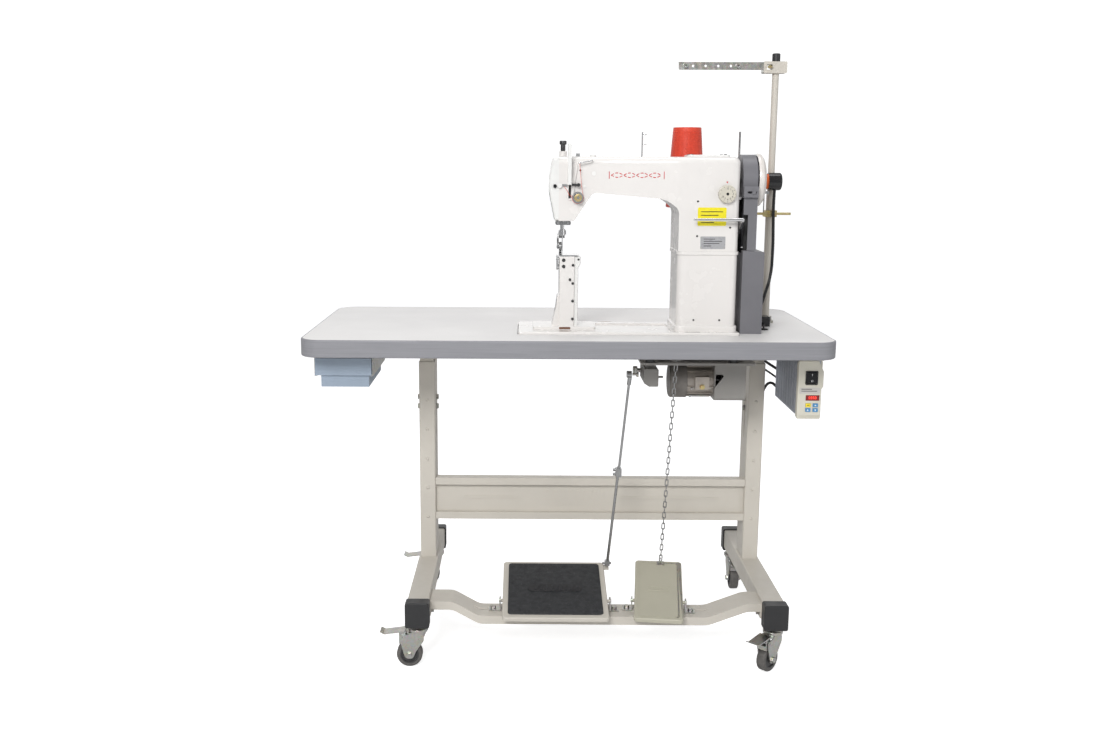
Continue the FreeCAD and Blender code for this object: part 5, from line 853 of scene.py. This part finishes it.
def panel_marks():
    field = Shape()
    plate_on_front(field, 545, 592.5, 629.5, 644, 130, 0.25, 1.5)
    field.done("panel_upper_label", "label", "machine")
    bars = Shape()
    for z, x1 in ((640.2, 574), (635.6, 586)):
        plate_on_front(bars, 549, x1, z - 0.8, z + 0.8, 129.75, 0.12, 0.6)
    bars.done("panel_label_lines", "ink_and_painted_shade", "machine")
    digits = Shape()
    digits.text("0350", place(576, 129.5, 619.5), RIGHT, UP, 9.5 * MM, 0.2 * MM)
    digits.done("display_digits", "digits", "machine")
    for name, (x, z) in {"program_key": (566.5, 602.0), "up_key": (583.5, 602.0),
                         "shift_key": (566.5, 590.5), "down_key": (583.5, 590.5)}.items():
        mark = Shape()
        if name == "program_key":
            plate_on_front(mark, x - 2.6, x + 2.6, z - 0.6, z + 0.6, KEY_FACE_Y, 0.12, 0.4)
        else:
            outline = [place(x + dx, KEY_FACE_Y + 0.1, z + dz) for dx, dz in ARROWS[name]]
            mark.prism(outline, FRONT * 0.25 * MM)
        mark.done(name + "_mark", "ink_and_painted_shade" if name == "program_key" else "white_ink", name)
    screws = Shape()
    for y, z in ((160, 585), (160, 695), (365, 585), (365, 695)):
        screws.rod(place(546.5, y, z), place(544.9, y, z), 2.6 * MM, 16)
    screws.done("control_box_screws", "zinc", "machine")


def head_thread():
    """Thread from the wire eyelet down through the tension discs to the sheet guide."""
    route = [(25, 128.2, 1156.5), (27.5, 131, 1132), (30.5, 134.6, 1104), (34.2, 135.2, 1084)]
    x, z = TENSION_AXIS
    wrap = 13.4
    around = [(x + wrap * math.cos(math.radians(a)), 135.2, z + wrap * math.sin(math.radians(a)))
              for a in range(12, -200, -16)]
    across = [(4, 134.6, 1084), (-3, 135.6, 1096), (-9.5, 135.6, 1104.6)]
    shape = Shape()
    shape.tube(smooth_path([place(*p) for p in route + around + across], 4), 0.45 * MM, 6)
    shape.done("head_thread", "thread", "machine")


def smooth_path(points, steps):
    """Points along a curve that runs through the given ones."""
    path = []
    for i in range(len(points) - 1):
        a, b = points[max(i - 1, 0)], points[i]
        c, d = points[i + 1], points[min(i + 2, len(points) - 1)]
        for j in range(steps):
            t = j / steps
            path.append(0.5 * (2 * b + (c - a) * t + (2 * a - 5 * b + 4 * c - d) * t * t
                               + (3 * b - a - 3 * c + d) * t ** 3))
    return path + [points[-1]]


def lamp_neck_ribs():
    """The rings of the lamp's coiled neck, centred on the neck by measuring to its wall."""
    route = [(502, 296, 1086), (501.5, 297, 1062), (503, 298, 1020), (505, 299, 970), (505, 300, 935),
             (504, 298, 905), (497, 290, 872), (488, 282, 850), (480, 275, 826), (470, 271, 805)]
    tree = surface("lamp")
    path = smooth_path([place(*p) for p in route], 40)
    shape = Shape()
    walked = 0.0
    for a, b in zip(path, path[1:]):
        walked += (b - a).length
        if walked < 3.0 * MM:
            continue
        walked = 0.0
        way = (b - a).normalized()
        centre = b.copy()
        u = way.orthogonal().normalized()
        for side in (u, way.cross(u)):
            ahead, behind = tree.ray_cast(centre, side, 0.02)[3], tree.ray_cast(centre, -side, 0.02)[3]
            if ahead and behind and ahead + behind < 0.0085:
                centre += side * (ahead - behind) / 2
        shape.torus(centre, way, 3.3 * MM, 0.9 * MM, 20, 6)
    shape.done("lamp_neck_rings", "black", "machine")


def cone_thread():
    """The outer turns of thread, crossing both ways over the cone."""
    base, top, low_radius, high_radius = 1054.0, 1241.0, 46.85, 33.9
    for name, way, turns in (("cone_turns_up", 1, 46), ("cone_turns_down", -1, 45)):
        points = []
        count = turns * 22
        for i in range(count + 1):
            share = i / count
            z = base + (top - base - 8) * share
            radius = low_radius + (high_radius - low_radius) * (z - base) / (top - base)
            angle = way * math.tau * turns * share
            points.append(place(CONE_AXIS[0] + radius * math.cos(angle),
                                CONE_AXIS[1] + radius * math.sin(angle), z))
        shape = Shape()
        shape.tube(points, 0.55 * MM, 5)
        shape.done(name, "thread", "thread_cone")


PAD_TOP = 147.8                                    # heights on the pedals once they are level
MAT_TOP = 145.6
LIFT_PAD_TOP = 142.8


def pedal_details():
    ridges = Shape()
    for i in range(9):
        x = -70 + i * 12
        outline = [tilted(x + dx, y, PAD_TOP) for dx, y in ((0, 103), (5, 103), (9, 123), (4, 123))]
        ridges.prism(outline, (tilted(0, 0, 1.6) - tilted(0, 0, 0)))
    ridges.done("mat_pad_ridges", "mat", "treadle", 0.3)
    studs = Shape()
    up = tilted(0, 0, 1.0) - tilted(0, 0, 0)
    for row in range(11):
        y = 24 + row * 18
        for column in range(12):
            x = -122 + column * 18 + (9 if row % 2 else 0)
            under_pad = -96 < x < 52 and 90 < y < 136
            if under_pad or x > 80:
                continue
            foot = tilted(x, y, MAT_TOP)
            studs.rod(foot, foot + up, 2.0 * MM, 10, 1.5 * MM)
    studs.done("mat_studs", "mat", "treadle")
    bars = Shape()
    rise = tilted_and_turned(0, 0, 1.2) - tilted_and_turned(0, 0, 0)
    for y in (110, 124):
        corners = ((198, y), (248, y), (248, y + 5), (198, y + 5))
        outline = [tilted_and_turned(*corner, LIFT_PAD_TOP) for corner in corners]
        bars.prism(outline, rise)
    bars.done("lift_pedal_ridges", "sage", "lift_pedal", 0.3)


def motor_fittings():
    bolts = Shape()
    for angle in (200, 250, 310):
        t = math.radians(angle)
        y, z = MOTOR_AXIS[0] + 37.5 * math.cos(t), MOTOR_AXIS[1] + 37.5 * math.sin(t)
        bolts.rod(place(300, y, z), place(344, y, z), 2.6 * MM, 12)
        bolts.rod(place(296, y, z), place(300, y, z), 4.6 * MM, 6)
    bolts.done("motor_tie_bolts", "zinc", "machine")
    gland = Shape()
    gland.rod(place(321, 154, 640), place(321, 147, 640), 6.5 * MM, 6)
    gland.rod(place(321, 148, 640), place(321, 143, 640), 4.6 * MM, 20)
    gland.done("motor_gland", "brass", "machine")
    ties = Shape()
    for centre, way in (((484, 410, 482), UP), ((487.5, 427, 640), UP), ((520, 424, 560), (0, 0.1, 1))):
        ties.torus(place(*centre), way, 4.3 * MM, 1.0 * MM, 20, 6)
    ties.done("cable_ties", "white_plastic", "machine")


def rocker_marks():
    marks = Shape()
    marks.text("I", place(572, 125.6, 674.0), RIGHT, Vector((0, -0.3, 1)), 7.5 * MM, 0.25 * MM)
    marks.text("O", place(572, 123.7, 660.5), RIGHT, Vector((0, 0.2, 1)), 7.0 * MM, 0.25 * MM)
    marks.done("rocker_marks", "white_ink", "power_rocker")


def add_pieces():
    column_plates()
    arm_motif()
    dial_marks()
    panel_marks()
    rocker_marks()
    head_thread()
    lamp_neck_ribs()
    cone_thread()
    pedal_details()
    motor_fittings()


make_camera()
make_studio()
finish_plain_nodes()
finish_machine()
finish_stand()
add_pieces()
